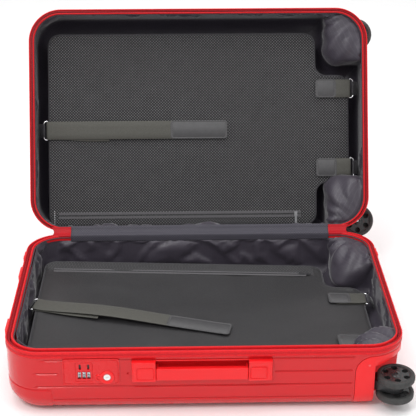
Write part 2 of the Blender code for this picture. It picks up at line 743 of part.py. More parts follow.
def build_main_sliders(half, materials):
    """Two sliders on the outer side of the lower zip tape, each with its pull behind it."""
    for label, side in (("left", -1), ("right", 1)):
        x = sorted((side * (HALF_X + GAP), side * (HALF_X + GAP + MAIN_SLIDER_THICKNESS)))
        body = box(x, (-0.0055, 0.0055), (0.1095, 0.1175))
        pull = box(x, (0.0045, 0.0240), (0.1112, 0.1158))
        add_object(f"main_slider_{label}", union(body, pull), materials["steel"], half,
                   (0, MAIN_SLIDER_Y, 0))


def build_half(name, half, materials, wheel_data):
    add_object(f"{name}_shell", shell_mesh(f"{name}_shell"), materials["red"], half,
               smooth_angle=25)
    add_object(f"{name}_zip_tape", zip_tape_mesh(), materials["tape"], half, smooth_angle=40)
    spec = LOWER_LINING if name == "lower" else LID_LINING
    lining = lining_mesh(spec, (-BULGE_Y, BULGE_Y))
    add_object(f"{name}_lining", lining, materials["lining"], half, smooth_angle=30)
    for label, flip in (("front", False), ("back", True)):
        corner = mirror_y(housing_mesh()) if flip else housing_mesh()
        add_object(f"{name}_{label}_housing", corner, materials["bright_red"], half,
                   smooth_angle=30)
    build_casters(name, half, materials, wheel_data)
    build_divider(name, half, materials)


def make_materials():
    return {
        "red": make_material("red_shell", RED, 0.28),
        "bright_red": make_material("red_fittings", BRIGHT_RED, 0.35),
        "tape": make_material("zip_tape", (0.70, 0.03, 0.045), 0.60),
        "lining": make_material("lining_fabric", FABRIC_GREY, 0.85),
        "panel": make_material("panel_mesh", (0.060, 0.058, 0.062), 0.80),
        "strap": make_material("strap_webbing", (0.115, 0.112, 0.105), 0.80),
        "cover": make_material("hinge_fabric", (0.16, 0.15, 0.17), 0.85),
        "caster": make_material("caster_plastic", BLACK, 0.35),
        "wheel": make_material("wheel_rubber", (0.028, 0.028, 0.028), 0.55),
        "dark": make_material("dark_plastic", (0.03, 0.03, 0.032), 0.40),
        "steel": make_material("chrome", (0.75, 0.75, 0.76), 0.15, 1.0),
        "dial": make_material("dial_metal", (0.45, 0.46, 0.47), 0.30, 1.0),
        "aluminium": make_material("tube_aluminium", (0.70, 0.70, 0.72), 0.35, 1.0),
    }


def main():
    clear_scene()
    materials = make_materials()
    lower = add_empty("lower_half")
    hinge = add_empty("lid_hinge", None, (0, HINGE_Y, HINGE_Z), (LID_TILT, 0, 0))
    lid = add_empty("lid_half", hinge, (0, HINGE_Y, -HINGE_Z))
    wheel_data = bpy.data.meshes.new("wheel")
    wheel = wheel_mesh()
    bmesh.ops.recalc_face_normals(wheel, faces=wheel.faces)
    wheel.to_mesh(wheel_data)
    wheel.free()
    wheel_data.materials.append(materials["wheel"])
    wheel_data.shade_smooth()
    wheel_data.set_sharp_from_angle(angle=math.radians(35))
    build_half("lower", lower, materials, wheel_data)
    build_half("lid", lid, materials, wheel_data)
    build_lock(lower, materials)
    build_handles(lower, materials)
    build_trolley(lower, materials)
    build_main_sliders(lower, materials)
    cover = cylinder("X", (0, 0), COVER_RADIUS, *COVER_X, 12)
    add_object("hinge_cover", cover, materials["cover"], lower, (0, HINGE_Y, HINGE_Z), 35)


main()
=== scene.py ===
"""Looks of the open hard shell suitcase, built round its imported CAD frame. Metres, +Z up.

Both halves are modelled in one half frame: +X towards the wheels, +Z from the outer face
(0) up to the rim, Y across. The lower half stands in the world as it is, with the hinge at
+Y. The lid's pieces are turned about the hinge, which is at -Y in their half frame.
"""
import math
from itertools import product

import bmesh
import bpy
import numpy as np
from mathutils import Matrix, Vector, noise


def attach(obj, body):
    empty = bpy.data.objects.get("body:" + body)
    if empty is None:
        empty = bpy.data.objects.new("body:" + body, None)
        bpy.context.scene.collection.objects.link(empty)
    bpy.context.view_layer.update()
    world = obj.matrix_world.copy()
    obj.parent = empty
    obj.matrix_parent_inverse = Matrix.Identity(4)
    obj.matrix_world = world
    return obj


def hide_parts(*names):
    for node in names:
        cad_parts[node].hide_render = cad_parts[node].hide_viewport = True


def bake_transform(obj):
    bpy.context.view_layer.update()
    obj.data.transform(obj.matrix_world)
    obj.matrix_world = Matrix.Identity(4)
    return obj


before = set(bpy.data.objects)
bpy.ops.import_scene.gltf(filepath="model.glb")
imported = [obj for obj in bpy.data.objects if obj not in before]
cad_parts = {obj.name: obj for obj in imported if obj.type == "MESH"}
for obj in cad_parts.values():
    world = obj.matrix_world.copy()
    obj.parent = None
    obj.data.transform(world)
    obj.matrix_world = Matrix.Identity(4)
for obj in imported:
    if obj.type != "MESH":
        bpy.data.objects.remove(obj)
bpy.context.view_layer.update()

# Case, as in the CAD model
HALF_X = 0.3275
HALF_Y = 0.2140
RIM_Z = 0.1196
CORNER = 0.0620
EDGE = 0.0380
PROUD = 0.0012
WALL = 0.0030
WALL_X = HALF_X - PROUD
WALL_Y = HALF_Y - PROUD
SHELL_TOP = 0.1080
HINGE = Vector((0.0, HALF_Y + 0.0030, RIM_Z + 0.0010))
LID_TILT = math.radians(65)
RIB_HALF = 0.0022
RIB_DEPTH = 0.0019
RIB_PITCH = 0.0248
RIB_Z = (0.0286, 0.0534, 0.0782, 0.1030)
GUARD_X = -0.2487
GUARD_Y = 0.1350
GUARD_Z = 0.0480
HOUSING_X = 0.2447
HOUSING_Y = 0.1285
HOUSING_TOP = 0.1035
SWIVEL_Y = 0.1850
SWIVEL_Z = 0.0420
WELL_X = 0.2765
WELL_RADIUS = 0.0515
AXLE_X = 0.3135
TRAIL = 0.0150
CORNER_SCREW = (0.2668, 0.0876)
RIM_ROW = 0.1150
WEBBING_WIDTH = 0.0355
WEBBING = 0.0013
PATCH_WIDTH = 0.0360
PATCH_RISE = 0.0036
STITCH_RISE = 0.0042
STITCH_INSET = 0.0029
COIL_PITCH = 0.0019
SAME_POINT = 0.000002

# Wheels and lock
DISC_OFFSET = 0.0095
HUB_HOLES = 6
HOLE_CIRCLE = 0.0185
HOLE_RADIUS = 0.0051
LOCK_FACE_Y = -HALF_Y - 0.0008
DIALS_X = (-0.2029, -0.1953, -0.1877)
DIALS_Z = 0.0765
DIAL_RADIUS = 0.0065
DIAL_MARKS = 10
KEY_X = -0.1585
KEY_Z = 0.0725

# Cloth
LINING_THICKNESS = 0.0008
COVER_THICKNESS = 0.0007
WELL_GAP = 0.0014

LID_FRAME = (Matrix.Translation(HINGE) @ Matrix.Rotation(LID_TILT, 4, "X")
             @ Matrix.Translation((0.0, HINGE.y, -HINGE.z)))
HALF_FRAMES = {"lower": Matrix.Identity(4), "lid": LID_FRAME}


# ---------------------------------------------------------------- mesh tools

def smoothstep(value):
    value = np.clip(value, 0.0, 1.0)
    return value * value * (3 - 2 * value)


def shade(obj, angle):
    """Smooth shading, kept sharp where faces meet at more than the angle in degrees."""
    obj.data.shade_smooth()
    obj.data.set_sharp_from_angle(angle=math.radians(angle))


def make_object(name, mesh, angle=35):
    obj = bpy.data.objects.new(name, mesh)
    bpy.context.scene.collection.objects.link(obj)
    if angle is not None:
        shade(obj, angle)
    return obj


def mesh_from(name, verts, faces, uvs=None):
    """A mesh from points and faces; uvs holds one (u, v) in metres per face corner."""
    mesh = bpy.data.meshes.new(name)
    mesh.from_pydata([tuple(v) for v in verts], [], [tuple(f) for f in faces])
    if uvs is not None:
        layer = mesh.uv_layers.new(name="cloth")
        layer.data.foreach_set("uv", np.array(uvs, float).ravel())
    return mesh


def outward(mesh):
    """Turns a closed mesh's faces outwards."""
    bm = bmesh.new()
    bm.from_mesh(mesh)
    bmesh.ops.recalc_face_normals(bm, faces=bm.faces)
    bm.to_mesh(mesh)
    bm.free()
    return mesh


def mesh_from_bmesh(name, bm):
    bmesh.ops.recalc_face_normals(bm, faces=bm.faces)
    mesh = bpy.data.meshes.new(name)
    bm.to_mesh(mesh)
    bm.free()
    return mesh


def place(obj, half, body, finish, replaces=()):
    """Puts a finished piece in its half, on its body, with its material."""
    obj.data.transform(obj.matrix_basis)
    obj.matrix_basis = Matrix.Identity(4)
    obj.data.transform(HALF_FRAMES[half])
    if not obj.data.materials:
        obj.data.materials.append(MATERIALS[finish])
    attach(obj, body)
    if replaces:
        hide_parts(*replaces)
    return obj


def apply_modifiers(obj):
    depsgraph = bpy.context.evaluated_depsgraph_get()
    mesh = bpy.data.meshes.new_from_object(obj.evaluated_get(depsgraph))
    old = obj.data
    obj.modifiers.clear()
    obj.data = mesh
    bpy.data.meshes.remove(old)
    return obj


def boolean(obj, cutter, operation="DIFFERENCE"):
    """Applies one exact Boolean and removes the cutter."""
    modifier = obj.modifiers.new("cut", "BOOLEAN")
    modifier.operation = operation
    modifier.solver = "EXACT"
    modifier.object = cutter
    apply_modifiers(obj)
    bpy.data.objects.remove(cutter, do_unlink=True)
    return obj


def bevel(obj, width, segments=2, angle=35):
    modifier = obj.modifiers.new("bevel", "BEVEL")
    modifier.width = width
    modifier.segments = segments
    modifier.limit_method = "ANGLE"
    modifier.angle_limit = math.radians(angle)
    modifier.harden_normals = False
    return obj


def solid(bm, name="solid"):
    return make_object(name, mesh_from_bmesh(name, bm), None)


BOX_FACES = ((0, 1, 3, 2), (4, 6, 7, 5), (0, 4, 5, 1), (2, 3, 7, 6), (0, 2, 6, 4), (1, 5, 7, 3))


def box(x, y, z):
    """A box object from three (low, high) ranges."""
    bm = bmesh.new()
    verts = [bm.verts.new(corner) for corner in product(x, y, z)]
    for face in BOX_FACES:
        bm.faces.new([verts[i] for i in face])
    return solid(bm)


def blocks_mesh(name, blocks):
    """One mesh of many small blocks, each given by its eight corners."""
    verts = [corner for block in blocks for corner in block]
    faces = [tuple(8 * i + k for k in face) for i in range(len(blocks)) for face in BOX_FACES]
    return mesh_from(name, verts, faces)


def wall_of(bm, rows):
    """Points of closed rows and the faces joining each row to the next."""
    verts = [[bm.verts.new(p) for p in row] for row in rows]
    for upper, lower in zip(verts, verts[1:]):
        for c in range(len(upper)):
            d = (c + 1) % len(upper)
            bm.faces.new((upper[c], upper[d], lower[d], lower[c]))
    return verts


def divide(bm, faces, cuts):
    """Splits flat faces at each (axis, value) and returns all the faces there are then."""
    for axis, value in cuts:
        normal = Vector((1, 0, 0)) if axis == 0 else Vector((0, 1, 0))
        near = [f for f in faces
                if min(v.co[axis] for v in f.verts) < value < max(v.co[axis] for v in f.verts)]
        geometry = near + list({e for f in near for e in f.edges})
        geometry += list({v for f in near for v in f.verts})
        made = bmesh.ops.bisect_plane(bm, geom=geometry, dist=1e-6,
                                      plane_co=normal * float(value), plane_no=normal)
        kept = set(faces) - set(near)
        kept |= {g for g in made["geom"] if isinstance(g, bmesh.types.BMFace)}
        faces = [f for f in kept if f.is_valid]
    return faces


def flat_uvs(bm):
    """A cloth layer that holds each corner's X and Y."""
    layer = bm.loops.layers.uv.new("cloth")
    for face in bm.faces:
        for corner in face.loops:
            corner[layer].uv = (corner.vert.co.x, corner.vert.co.y)


def soft_box(x, y, z, radius, segments=3):
    """A box with every edge rounded."""
    obj = box(x, y, z)
    bm = bmesh.new()
    bm.from_mesh(obj.data)
    bmesh.ops.bevel(bm, geom=bm.edges[:] + bm.verts[:], offset=radius, segments=segments,
                    profile=0.5, affect="EDGES", clamp_overlap=True)
    bpy.data.objects.remove(obj)
    return solid(bm)


def prism(outline, axis, low, high):
    """An outline pushed along an axis; the outline's two numbers are the other two axes."""
    order = {"X": lambda a, b, c: (c, a, b), "Y": lambda a, b, c: (a, c, b),
             "Z": lambda a, b, c: (a, b, c)}[axis]
    bm = bmesh.new()
    rows = [[bm.verts.new(order(a, b, level)) for a, b in outline] for level in (low, high)]
    bm.faces.new(rows[0])
    bm.faces.new(rows[1])
    count = len(outline)
    for i in range(count):
        j = (i + 1) % count
        bm.faces.new((rows[0][i], rows[0][j], rows[1][j], rows[1][i]))
    return solid(bm)


def arc(centre, radius, start, end, steps):
    """Points on an arc, angles in degrees."""
    angles = [math.radians(start + (end - start) * i / steps) for i in range(steps + 1)]
    return [(centre[0] + radius * math.cos(a), centre[1] + radius * math.sin(a))
            for a in angles]


def rounded_rectangle(x, y, radius, steps=6):
    points = arc((x[1] - radius, y[1] - radius), radius, 0, 90, steps)
    points += arc((x[0] + radius, y[1] - radius), radius, 90, 180, steps)
    points += arc((x[0] + radius, y[0] + radius), radius, 180, 270, steps)
    return points + arc((x[1] - radius, y[0] + radius), radius, 270, 360, steps)


def cylinder(axis, centre, radius, low, high, steps=40):
    return prism(arc(centre, radius, 0, 360, steps)[:-1], axis, low, high)


def join(name, objects):
    """One object from several, keeping their materials."""
    bm = bmesh.new()
    materials = []
    for obj in objects:
        obj.data.transform(obj.matrix_basis)
        offset = len(materials)
        materials += list(obj.data.materials)
        start = len(bm.faces)
        bm.from_mesh(obj.data)
        bm.faces.ensure_lookup_table()
        for face in bm.faces[start:]:
            face.material_index += offset
    mesh = bpy.data.meshes.new(name)
    bm.to_mesh(mesh)
    bm.free()
    for finish in materials:
        mesh.materials.append(finish)
    for obj in objects:
        bpy.data.objects.remove(obj, do_unlink=True)
    return make_object(name, mesh, None)


# ---------------------------------------------------------------- loops round the case

def stations(low, high, step, dense=()):
    """Sorted positions from low to high, with extra ones round each (centre, reach, pitch)."""
    count = max(1, round((high - low) / step))
    values = list(np.linspace(low, high, count + 1))
    for centre, reach, pitch in dense:
        values = [v for v in values if abs(v - centre) > reach + pitch / 2]
        number = round(2 * reach / pitch)
        values += list(np.linspace(centre - reach, centre + reach, number + 1))
    return sorted(v for v in values if low <= v <= high)


def loop(x, y, radii, long_xs, short_ys, arcs):
    """A rounded rectangle's points, anticlockwise from its +X side's upper end.

    The straight sides carry the given stations, as shares of the side, so that loops of
    any size have points that match.
    """
    corners = ((x[1], y[1], 1, 1), (x[0], y[1], -1, 1), (x[0], y[0], -1, -1),
               (x[1], y[0], 1, -1))
    ends = []
    for i, (cx, cy, sx, sy) in enumerate(corners):
        r = radii[i]
        centre = (cx - sx * r, cy - sy * r)
        ends.append(arc(centre, r, 90 * i, 90 * (i + 1), arcs))
    points = []
    for i in range(4):
        points += ends[i]
        start = np.array(ends[i][-1])
        stop = np.array(ends[(i + 1) % 4][0])
        shares = long_xs if i % 2 == 0 else short_ys
        if i in (0, 1):
            shares = [1 - s for s in shares][::-1]
        points += [tuple(start + (stop - start) * s) for s in shares]
    return points


def case_loop(insets, long_shares, short_shares, arcs):
    """A loop inside the case's outline, at its (left, right, front, back) insets."""
    left, right, front, back = insets
    radii = (CORNER - (right + back) / 2, CORNER - (left + back) / 2,
             CORNER - (left + front) / 2, CORNER - (right + front) / 2)
    return loop((-HALF_X + left, HALF_X - right), (-HALF_Y + front, HALF_Y - back), radii,
                long_shares, short_shares, arcs)


def shares(values, low, high):
    """Stations as shares of a side, without its two ends."""
    return [(v - low) / (high - low) for v in values
            if low + 0.0004 < v < high - 0.0004]


def even(count):
    return [(i + 1) / (count + 1) for i in range(count)]


def run_lengths(points):
    """Distance from the first point to each point along the run."""
    steps = np.linalg.norm(np.diff(points, axis=0), axis=1)
    return np.concatenate([[0.0], np.cumsum(steps)])


def grid_faces(rows, columns, close_rows=False):
    """Quads between matching closed loops."""
    faces = []
    for r in range(rows if close_rows else rows - 1):
        s = (r + 1) % rows
        for c in range(columns):
            d = (c + 1) % columns
            faces.append((r * columns + c, r * columns + d, s * columns + d, s * columns + c))
    return faces


def grid_uvs(loops, close_rows=False):
    """Arc lengths round and down a stack of loops, one pair per corner of grid_faces."""
    array = np.array(loops, float)
    rows, columns = array.shape[:2]
    around = np.linalg.norm(np.roll(array, -1, axis=1) - array, axis=2).mean(axis=0)
    u = np.concatenate([[0.0], np.cumsum(around)])
    down = np.linalg.norm(np.diff(array, axis=0), axis=2).mean(axis=1)
    v = np.concatenate([[0.0], np.cumsum(down)])
    uvs = []
    for r in range(rows if close_rows else rows - 1):
        below = v[r + 1] if r + 1 < rows else v[-1] + 0.001
        for c in range(columns):
            uvs += [(u[c], v[r]), (u[c + 1], v[r]), (u[c + 1], below), (u[c], below)]
    return uvs


def ring_sweep(name, section, insets_of, arcs):
    """A closed band round the rim; section holds (inset, z) points of a closed outline.

    insets_of(inset) gives the (left, right, front, back) insets.
    """
    loops = []
    for inset, z in section:
        flat = case_loop(insets_of(inset), even(60), even(36), arcs)
        loops.append([(a, b, z) for a, b in flat])
    verts = [p for one in loops for p in one]
    faces = grid_faces(len(loops), len(loops[0]), close_rows=True)
    mesh = mesh_from(name, verts, faces, grid_uvs(loops, close_rows=True))
    return make_object(name, mesh, 40)


# ---------------------------------------------------------------- shells

def profile_point(s):
    """Inset and height of the shell's outer face at s metres down from its top edge."""
    straight = SHELL_TOP - EDGE
    if s <= straight:
        return PROUD, SHELL_TOP - s
    angle = (s - straight) / EDGE
    return PROUD + EDGE * (1 - math.cos(angle)), EDGE * (1 - math.sin(angle))


def profile_depth(z):
    """The profile length s at a height z."""
    if z >= EDGE:
        return SHELL_TOP - z
    return SHELL_TOP - EDGE + EDGE * math.asin(1 - z / EDGE)


def guard_distance(a, b):
    """Signed distance into a corner guard whose two borders are a and b away."""
    round_radius = 0.006
    inside = np.minimum(a, b)
    corner = round_radius - np.hypot(np.maximum(round_radius - a, 0),
                                     np.maximum(round_radius - b, 0))
    return np.where((a < round_radius) & (b < round_radius), corner, inside)


def guard_groove(distance):
    """Depth of the fine groove round a guard."""
    return 0.0008 * np.exp(-(distance / 0.0011) ** 2)


def guard_relief(distance):
    """Outward height near a guard's border: a fine groove and a slightly raised guard."""
    return 0.00045 * smoothstep(distance / 0.0025) - guard_groove(distance)


def window(x, spans):
    """1 inside the spans, with ends rounded over a rib's half width, 0 outside."""
    total = np.zeros_like(x)
    for low, high in spans:
        inside = np.minimum(x - low, high - x) / RIB_HALF
        total = np.maximum(total, np.sqrt(np.clip(1 - (1 - np.clip(inside, 0, 1)) ** 2, 0, 1)))
    return total


def groove(offset):
    """Depth share across a rib groove."""
    return np.where(np.abs(offset) < RIB_HALF,
                    0.5 + 0.5 * np.cos(np.pi * offset / RIB_HALF), 0.0)


WALL_RIB_SPANS = (((-0.2480, 0.2400),), ((-0.2755, 0.2400),), ((-0.262, 0.2400),),
                  ((-0.262, 0.2430),))
LOCK_WALL_SPANS = (((-0.2480, 0.2400),), ((-0.2755, 0.2400),),
                   ((-0.2755, -0.2386), (-0.1262, -0.1228), (0.1135, 0.2400)),
                   ((-0.262, 0.2430),))


def wall_relief(points, s, lock_wall):
    """Outward relief of one loop of wall points at profile length s."""
    x, y = points[:, 0], points[:, 1]
    relief = np.zeros(len(points))
    long_wall = (np.abs(y) > WALL_Y - CORNER) & (x < HOUSING_X + 0.005)
    for i, height in enumerate(RIB_Z):
        share = float(groove(np.array(s - profile_depth(height))))
        if share <= 0:
            continue
        for side in (-1, 1):
            spans = LOCK_WALL_SPANS[i] if lock_wall and side < 0 else WALL_RIB_SPANS[i]
            mask = long_wall & (np.sign(y) == side)
            relief -= np.where(mask, RIB_DEPTH * share * window(x, spans), 0.0)
    down = s - (SHELL_TOP - GUARD_Z)
    on_long = np.abs(y) > WALL_Y - CORNER - 0.001
    across = np.where(on_long, GUARD_X - x, np.abs(y) - GUARD_Y)
    across = np.where(on_long & (x < -WALL_X + CORNER), 0.05, across)
    across = np.where(x > 0, -1.0, across)
    distance = guard_distance(across, np.full_like(across, down))
    return relief + guard_relief(distance)


def shell_mesh(lock_wall):
    """The moulded shell: ribbed, with corner guards, as one closed body."""
    straight_x = WALL_X - (CORNER - PROUD)
    straight_y = WALL_Y - (CORNER - PROUD)
    xs = stations(-straight_x, straight_x, 0.0075,
                  ((GUARD_X - 0.003, 0.0055, 0.0011), (0.2395, 0.0035, 0.0010),
                   (-0.2370, 0.0030, 0.0012), (-0.1245, 0.0024, 0.0008),
                   (0.1140, 0.0020, 0.0010)))
    ys = stations(-straight_y, straight_y, 0.0090,
                  ((-GUARD_Y, 0.0045, 0.0011), (GUARD_Y, 0.0045, 0.0011)))
    long_shares = shares(xs, -straight_x, straight_x)
    short_shares = shares(ys, -straight_y, straight_y)
    end = profile_depth(0.0)
    depths = stations(0.0, end, 0.0055,
                      [(profile_depth(z), 0.0024, 0.0006) for z in RIB_Z]
                      + [(SHELL_TOP - GUARD_Z + 0.0015, 0.0045, 0.0010)])
    outer = []
    for s in depths:
        inset, z = profile_point(s)
        flat = np.array(case_loop((inset,) * 4, long_shares, short_shares, 22))
        normal = outward_normals(flat)
        tilt = max(0.0, s - (SHELL_TOP - EDGE)) / EDGE
        relief = wall_relief(flat, s, lock_wall)
        moved = flat + normal * (relief * math.cos(tilt))[:, None]
        heights = z - relief * math.sin(tilt)
        outer.append(np.column_stack([moved, heights]))
    inner = []
    for i in range(0, len(depths), 3):
        inset, z = profile_point(depths[i])
        tilt = max(0.0, depths[i] - (SHELL_TOP - EDGE)) / EDGE
        inset += WALL * math.cos(tilt)
        z += WALL * math.sin(tilt)
        flat = np.array(case_loop((inset,) * 4, long_shares, short_shares, 22))
        inner.append(np.column_stack([flat, np.full(len(flat), z)]))
    rows = outer[::-1] + inner
    bm = bmesh.new()
    verts = wall_of(bm, rows)
    bm.faces.new(verts[-1])
    floor = bm.faces.new(verts[0][::-1])
    cut_floor(bm, floor)
    return bm


def cut_floor(bm, floor):
    """Divides the flat outer face along its ribs and guards, and presses them in."""
    ribs = [(i - 5.5) * RIB_PITCH for i in range(12)]
    cuts = [(1, y + k * RIB_HALF / 3) for y in ribs for k in range(-3, 4)]
    cuts += [(1, side * GUARD_Y + k * 0.0011) for side in (-1, 1) for k in (-2, -1, 1, 2, 3, 5)]
    cuts += [(0, GUARD_X + k * 0.0011) for k in (-5, -3, -2, -1, 0, 1, 2)]
    cuts += [(0, x) for x in (-0.244, -0.2432, -0.2418, 0.2378, 0.2392, 0.2400, -0.12, 0.0,
                              0.12)]
    faces = divide(bm, [floor], cuts)
    verts = list({v for f in faces for v in f.verts})
    x = np.array([v.co.x for v in verts])
    y = np.array([v.co.y for v in verts])
    relief = np.zeros(len(verts))
    spans = ((-0.2440, 0.2400),)
    for rib in ribs:
        relief += RIB_DEPTH * groove(y - rib) * window(x, spans)
    distance = guard_distance(GUARD_X - x, np.abs(y) - GUARD_Y)
    relief += guard_groove(distance)
    for vert, rise in zip(verts, relief):
        vert.co.z += float(rise)


def housing_outline(gap):
    """The S edge of a wheel corner, seen from the long side, as (x, z) points."""
    left = HOUSING_X - gap
    top = HOUSING_TOP + gap
    round_radius = 0.030
    outline = [(0.36, -0.01), (0.36, top)]
    outline += arc((left + round_radius, top - round_radius), round_radius, 90, 180, 14)
    outline.append((left, -0.01))
    return outline


def housing_region(side, gap):
    reach = sorted((side * 0.25, side * (HOUSING_Y - gap)))
    return prism(housing_outline(gap), "Y", *reach)


def build_shell(half):
    """The shell with its wheel corners, and the lower one's openings, cut away."""
    shell = solid(shell_mesh(half == "lower"), f"{half}_shell_moulding")
    cutters = [housing_region(side, 0.0006) for side in (-1, 1)]
    if half == "lower":
        edge = 0.0003
        cutters.append(box((-0.226 - edge, -0.142 + edge), (-0.23, -0.20),
                           (0.063 - edge, 0.103 + edge)))
        handle_z = (0.0665 - edge, 0.1024 + edge)
        cutters.append(box((-0.1183 - edge, 0.1091 + edge), (-0.23, -0.20), handle_z))
        cutters.append(box((-0.35, -0.31), (-0.1137 - edge, 0.1137 + edge), handle_z))
        cutters.append(box((-0.35, -0.29), (-0.0930 - edge, 0.0930 + edge),
                           (0.0065 - edge, 0.0328 + edge)))
    boolean(shell, join("cutters", cutters))
    shade(shell, 28)
    return place(shell, half, f"{half}_case", "red_shell",
                 (f"{half}_shell",))


def solid_bowl(inset, floor, top, edge, steps=10):
    """A filled rounded tub, for cutting and for intersecting."""
    rows = []
    for i in range(steps + 1):
        angle = math.pi / 2 * i / steps
        turn = edge * (1 - math.sin(angle))
        total = inset + turn
        z = floor + edge * (1 - math.cos(angle))
        flat = case_loop((total,) * 4, even(4), even(4), 14)
        rows.append([(a, b, z) for a, b in flat])
    rows.append([(a, b, top) for a, b, _ in rows[-1]])
    bm = bmesh.new()
    verts = wall_of(bm, rows)
    bm.faces.new(verts[0][::-1])
    bm.faces.new(verts[-1])
    return solid(bm)


def build_housings(half):
    """Wheel corners: a smooth skin with a round, flanged well for the caster."""
    for label, side in (("front", -1), ("back", 1)):
        skin = solid_bowl(PROUD - 0.0004, 0.0, 0.2, EDGE)
        boolean(skin, housing_region(side, 0.0), "INTERSECT")
        hollow = solid_bowl(PROUD + WALL, WALL, 0.3, EDGE - WALL)
        centre = (side * SWIVEL_Y, SWIVEL_Z)
        boolean(hollow, cylinder("X", centre, WELL_RADIUS + WALL, WELL_X - WALL, 0.4, 64))
        boolean(skin, hollow)
        boolean(skin, cylinder("X", centre, WELL_RADIUS, WELL_X, 0.4, 64))
        bevel(skin, 0.0009, 2, 40)
        apply_modifiers(skin)
        skin.name = f"{half}_{label}_wheel_corner"
        shade(skin, 30)
        place(skin, half, f"{half}_case", "red_fittings",
              (f"{half}_{label}_housing",))
        x, z = CORNER_SCREW
        screw = cylinder("Y", (x, z), 0.0019, -0.0006, 0.0009, 20)
        screw.location = (0, side * (WALL_Y + 0.0004), 0)
        slot_cut = box((x - 0.0015, x + 0.0015), (-0.01, 0.01), (z - 0.0003, z + 0.0003))
        slot_cut.location = (0, side * 0.0103, 0)
        boolean(screw, slot_cut)
        screw = join(f"{half}_{label}_corner_screws", [screw])
        place(screw, half, f"{half}_case", "screw")


# ---------------------------------------------------------------- rim

RIM_SCALES = {"lower": (0.80, 0.66, 1.00, 0.45), "lid": (0.64, 0.64, 0.45, 0.60)}
LIP_SCALES = {"lower": (0.80, 0.56, 1.00, 0.45), "lid": (0.56, 0.56, 0.45, 0.54)}


def build_rim(half):
    """Zip band: two glossy ridges, teeth between them, a stitched outer face and a lip.

    The band is widest on the lower half's front and narrowest along the hinge.
    """
    scales, lips = RIM_SCALES[half], LIP_SCALES[half]

    def band_insets(inset):
        return tuple(inset * k for k in scales)

    def lip_insets(inset):
        return tuple(0.0114 * k + (inset - 0.0114) * m for k, m in zip(scales, lips))

    def piping_insets(inset):
        return tuple(e + 0.0005 + (inset - 0.0176) for e in lip_insets(0.0166))

    band_section = [(0.0, 0.1083), (-0.0002, 0.1092), (0.0002, 0.1104), (0.0005, 0.1116),
                    (0.0005, 0.1150), (0.0001, 0.1160), (0.0, 0.1178), (0.0004, 0.1188),
                    (0.0011, 0.1194), (0.0019, 0.1196), (0.0028, 0.1193), (0.0034, 0.1185),
                    (0.0037, 0.1172), (0.0037, 0.1158), (0.0090, 0.1158), (0.0092, 0.1140),
                    (0.0094, 0.1083)]
    band = ring_sweep(f"{half}_zip_band", band_section, band_insets, 20)
    place(band, half, f"{half}_case", "zip_tape",
          (f"{half}_zip_tape",))
    # The zip's web between the ridges is a real part, but its dark red is partly painted shade of
    # the groove.
    web_section = [(0.0041, 0.1156), (0.0041, 0.1164), (0.0050, 0.1169), (0.0066, 0.1166),
                   (0.0078, 0.1168), (0.0087, 0.1163), (0.0087, 0.1156)]
    web = ring_sweep(f"{half}_zip_web", web_section, band_insets, 20)
    place(web, half, f"{half}_case", "zip_web")
    lip_section = [(0.0114, 0.1090), (0.0114, 0.1168), (0.0117, 0.1182), (0.0124, 0.1191),
                   (0.0138, 0.1194), (0.0152, 0.1190), (0.0162, 0.1178), (0.0166, 0.1162),
                   (0.0166, 0.1090)]
    lip = ring_sweep(f"{half}_rim_lip", lip_section, lip_insets, 16)
    place(lip, half, f"{half}_case", "zip_tape")
    piping_section = [(0.0176 + 0.0011 * math.cos(a), 0.1150 + 0.0011 * math.sin(a))
                      for a in (math.pi * k / 5 for k in range(10))]
    piping = ring_sweep(f"{half}_lining_piping", piping_section, piping_insets, 14)
    place(piping, half, f"{half}_case", "piping")
    build_teeth(half)
    build_stitches(half)


def rim_path(inset, spacing, scales=(1, 1, 1, 1)):
    """Evenly spaced (position, direction) pairs round the rim at an inset."""
    flat = np.array(case_loop([inset * k for k in scales], even(2), even(2), 60))
    closed = np.vstack([flat, flat[:1]])
    lengths = run_lengths(closed)
    count = round(lengths[-1] / spacing)
    at = np.arange(count) * lengths[-1] / count
    x = np.interp(at, lengths, closed[:, 0])
    y = np.interp(at, lengths, closed[:, 1])
    ahead_x = np.interp((at + 0.0005) % lengths[-1], lengths, closed[:, 0])
    ahead_y = np.interp((at + 0.0005) % lengths[-1], lengths, closed[:, 1])
    along = np.column_stack([ahead_x - x, ahead_y - y])
    along /= np.linalg.norm(along, axis=1)[:, None]
    return np.column_stack([x, y]), along


def scatter_blocks(name, places, along, size, z, finish, half):
    """Small blocks, each size = (along, across, up), at places round the rim."""
    corners = [(a * (0.75 if c > 0 else 1.0), b, c)
               for a, b, c in product(*((-value / 2, value / 2) for value in size))]
    blocks = [[(x + dx * a - dy * b, y + dy * a + dx * b, z + c) for a, b, c in corners]
              for (x, y), (dx, dy) in zip(places, along)]
    return place(make_object(name, blocks_mesh(name, blocks), None), half, f"{half}_case",
                 finish)


def build_teeth(half):
    places, along = rim_path(0.0066, 0.0026, RIM_SCALES[half])
    scatter_blocks(f"{half}_zip_teeth", places, along, (0.0014, 0.0014, 0.0012), 0.1168,
                   "zip_teeth", half)


def build_stitches(half):
    """Two rows of stitches on the band's outer face."""
    for row, z in (("upper", 0.1141), ("lower", 0.1124)):
        places, along = rim_path(0.00045, 0.0034)
        scatter_blocks(f"{half}_band_stitches_{row}", places, along, (0.0024, 0.0005, 0.0006),
                       z, "red_thread", half)


# ---------------------------------------------------------------- casters

def lathe(name, section, steps=64, capped=False):
    """(radius, z) points turned about Z; the outline closes on itself or with two caps."""
    rows = [[(r * math.cos(2 * math.pi * k / steps), r * math.sin(2 * math.pi * k / steps), z)
             for k in range(steps)] for r, z in section]
    verts = [p for row in rows for p in row]
    faces = grid_faces(len(rows), steps, close_rows=not capped)
    if capped:
        faces.append(tuple(range(steps))[::-1])
        faces.append(tuple((len(rows) - 1) * steps + k for k in range(steps)))
    return make_object(name, outward(mesh_from(name, verts, faces)), None)


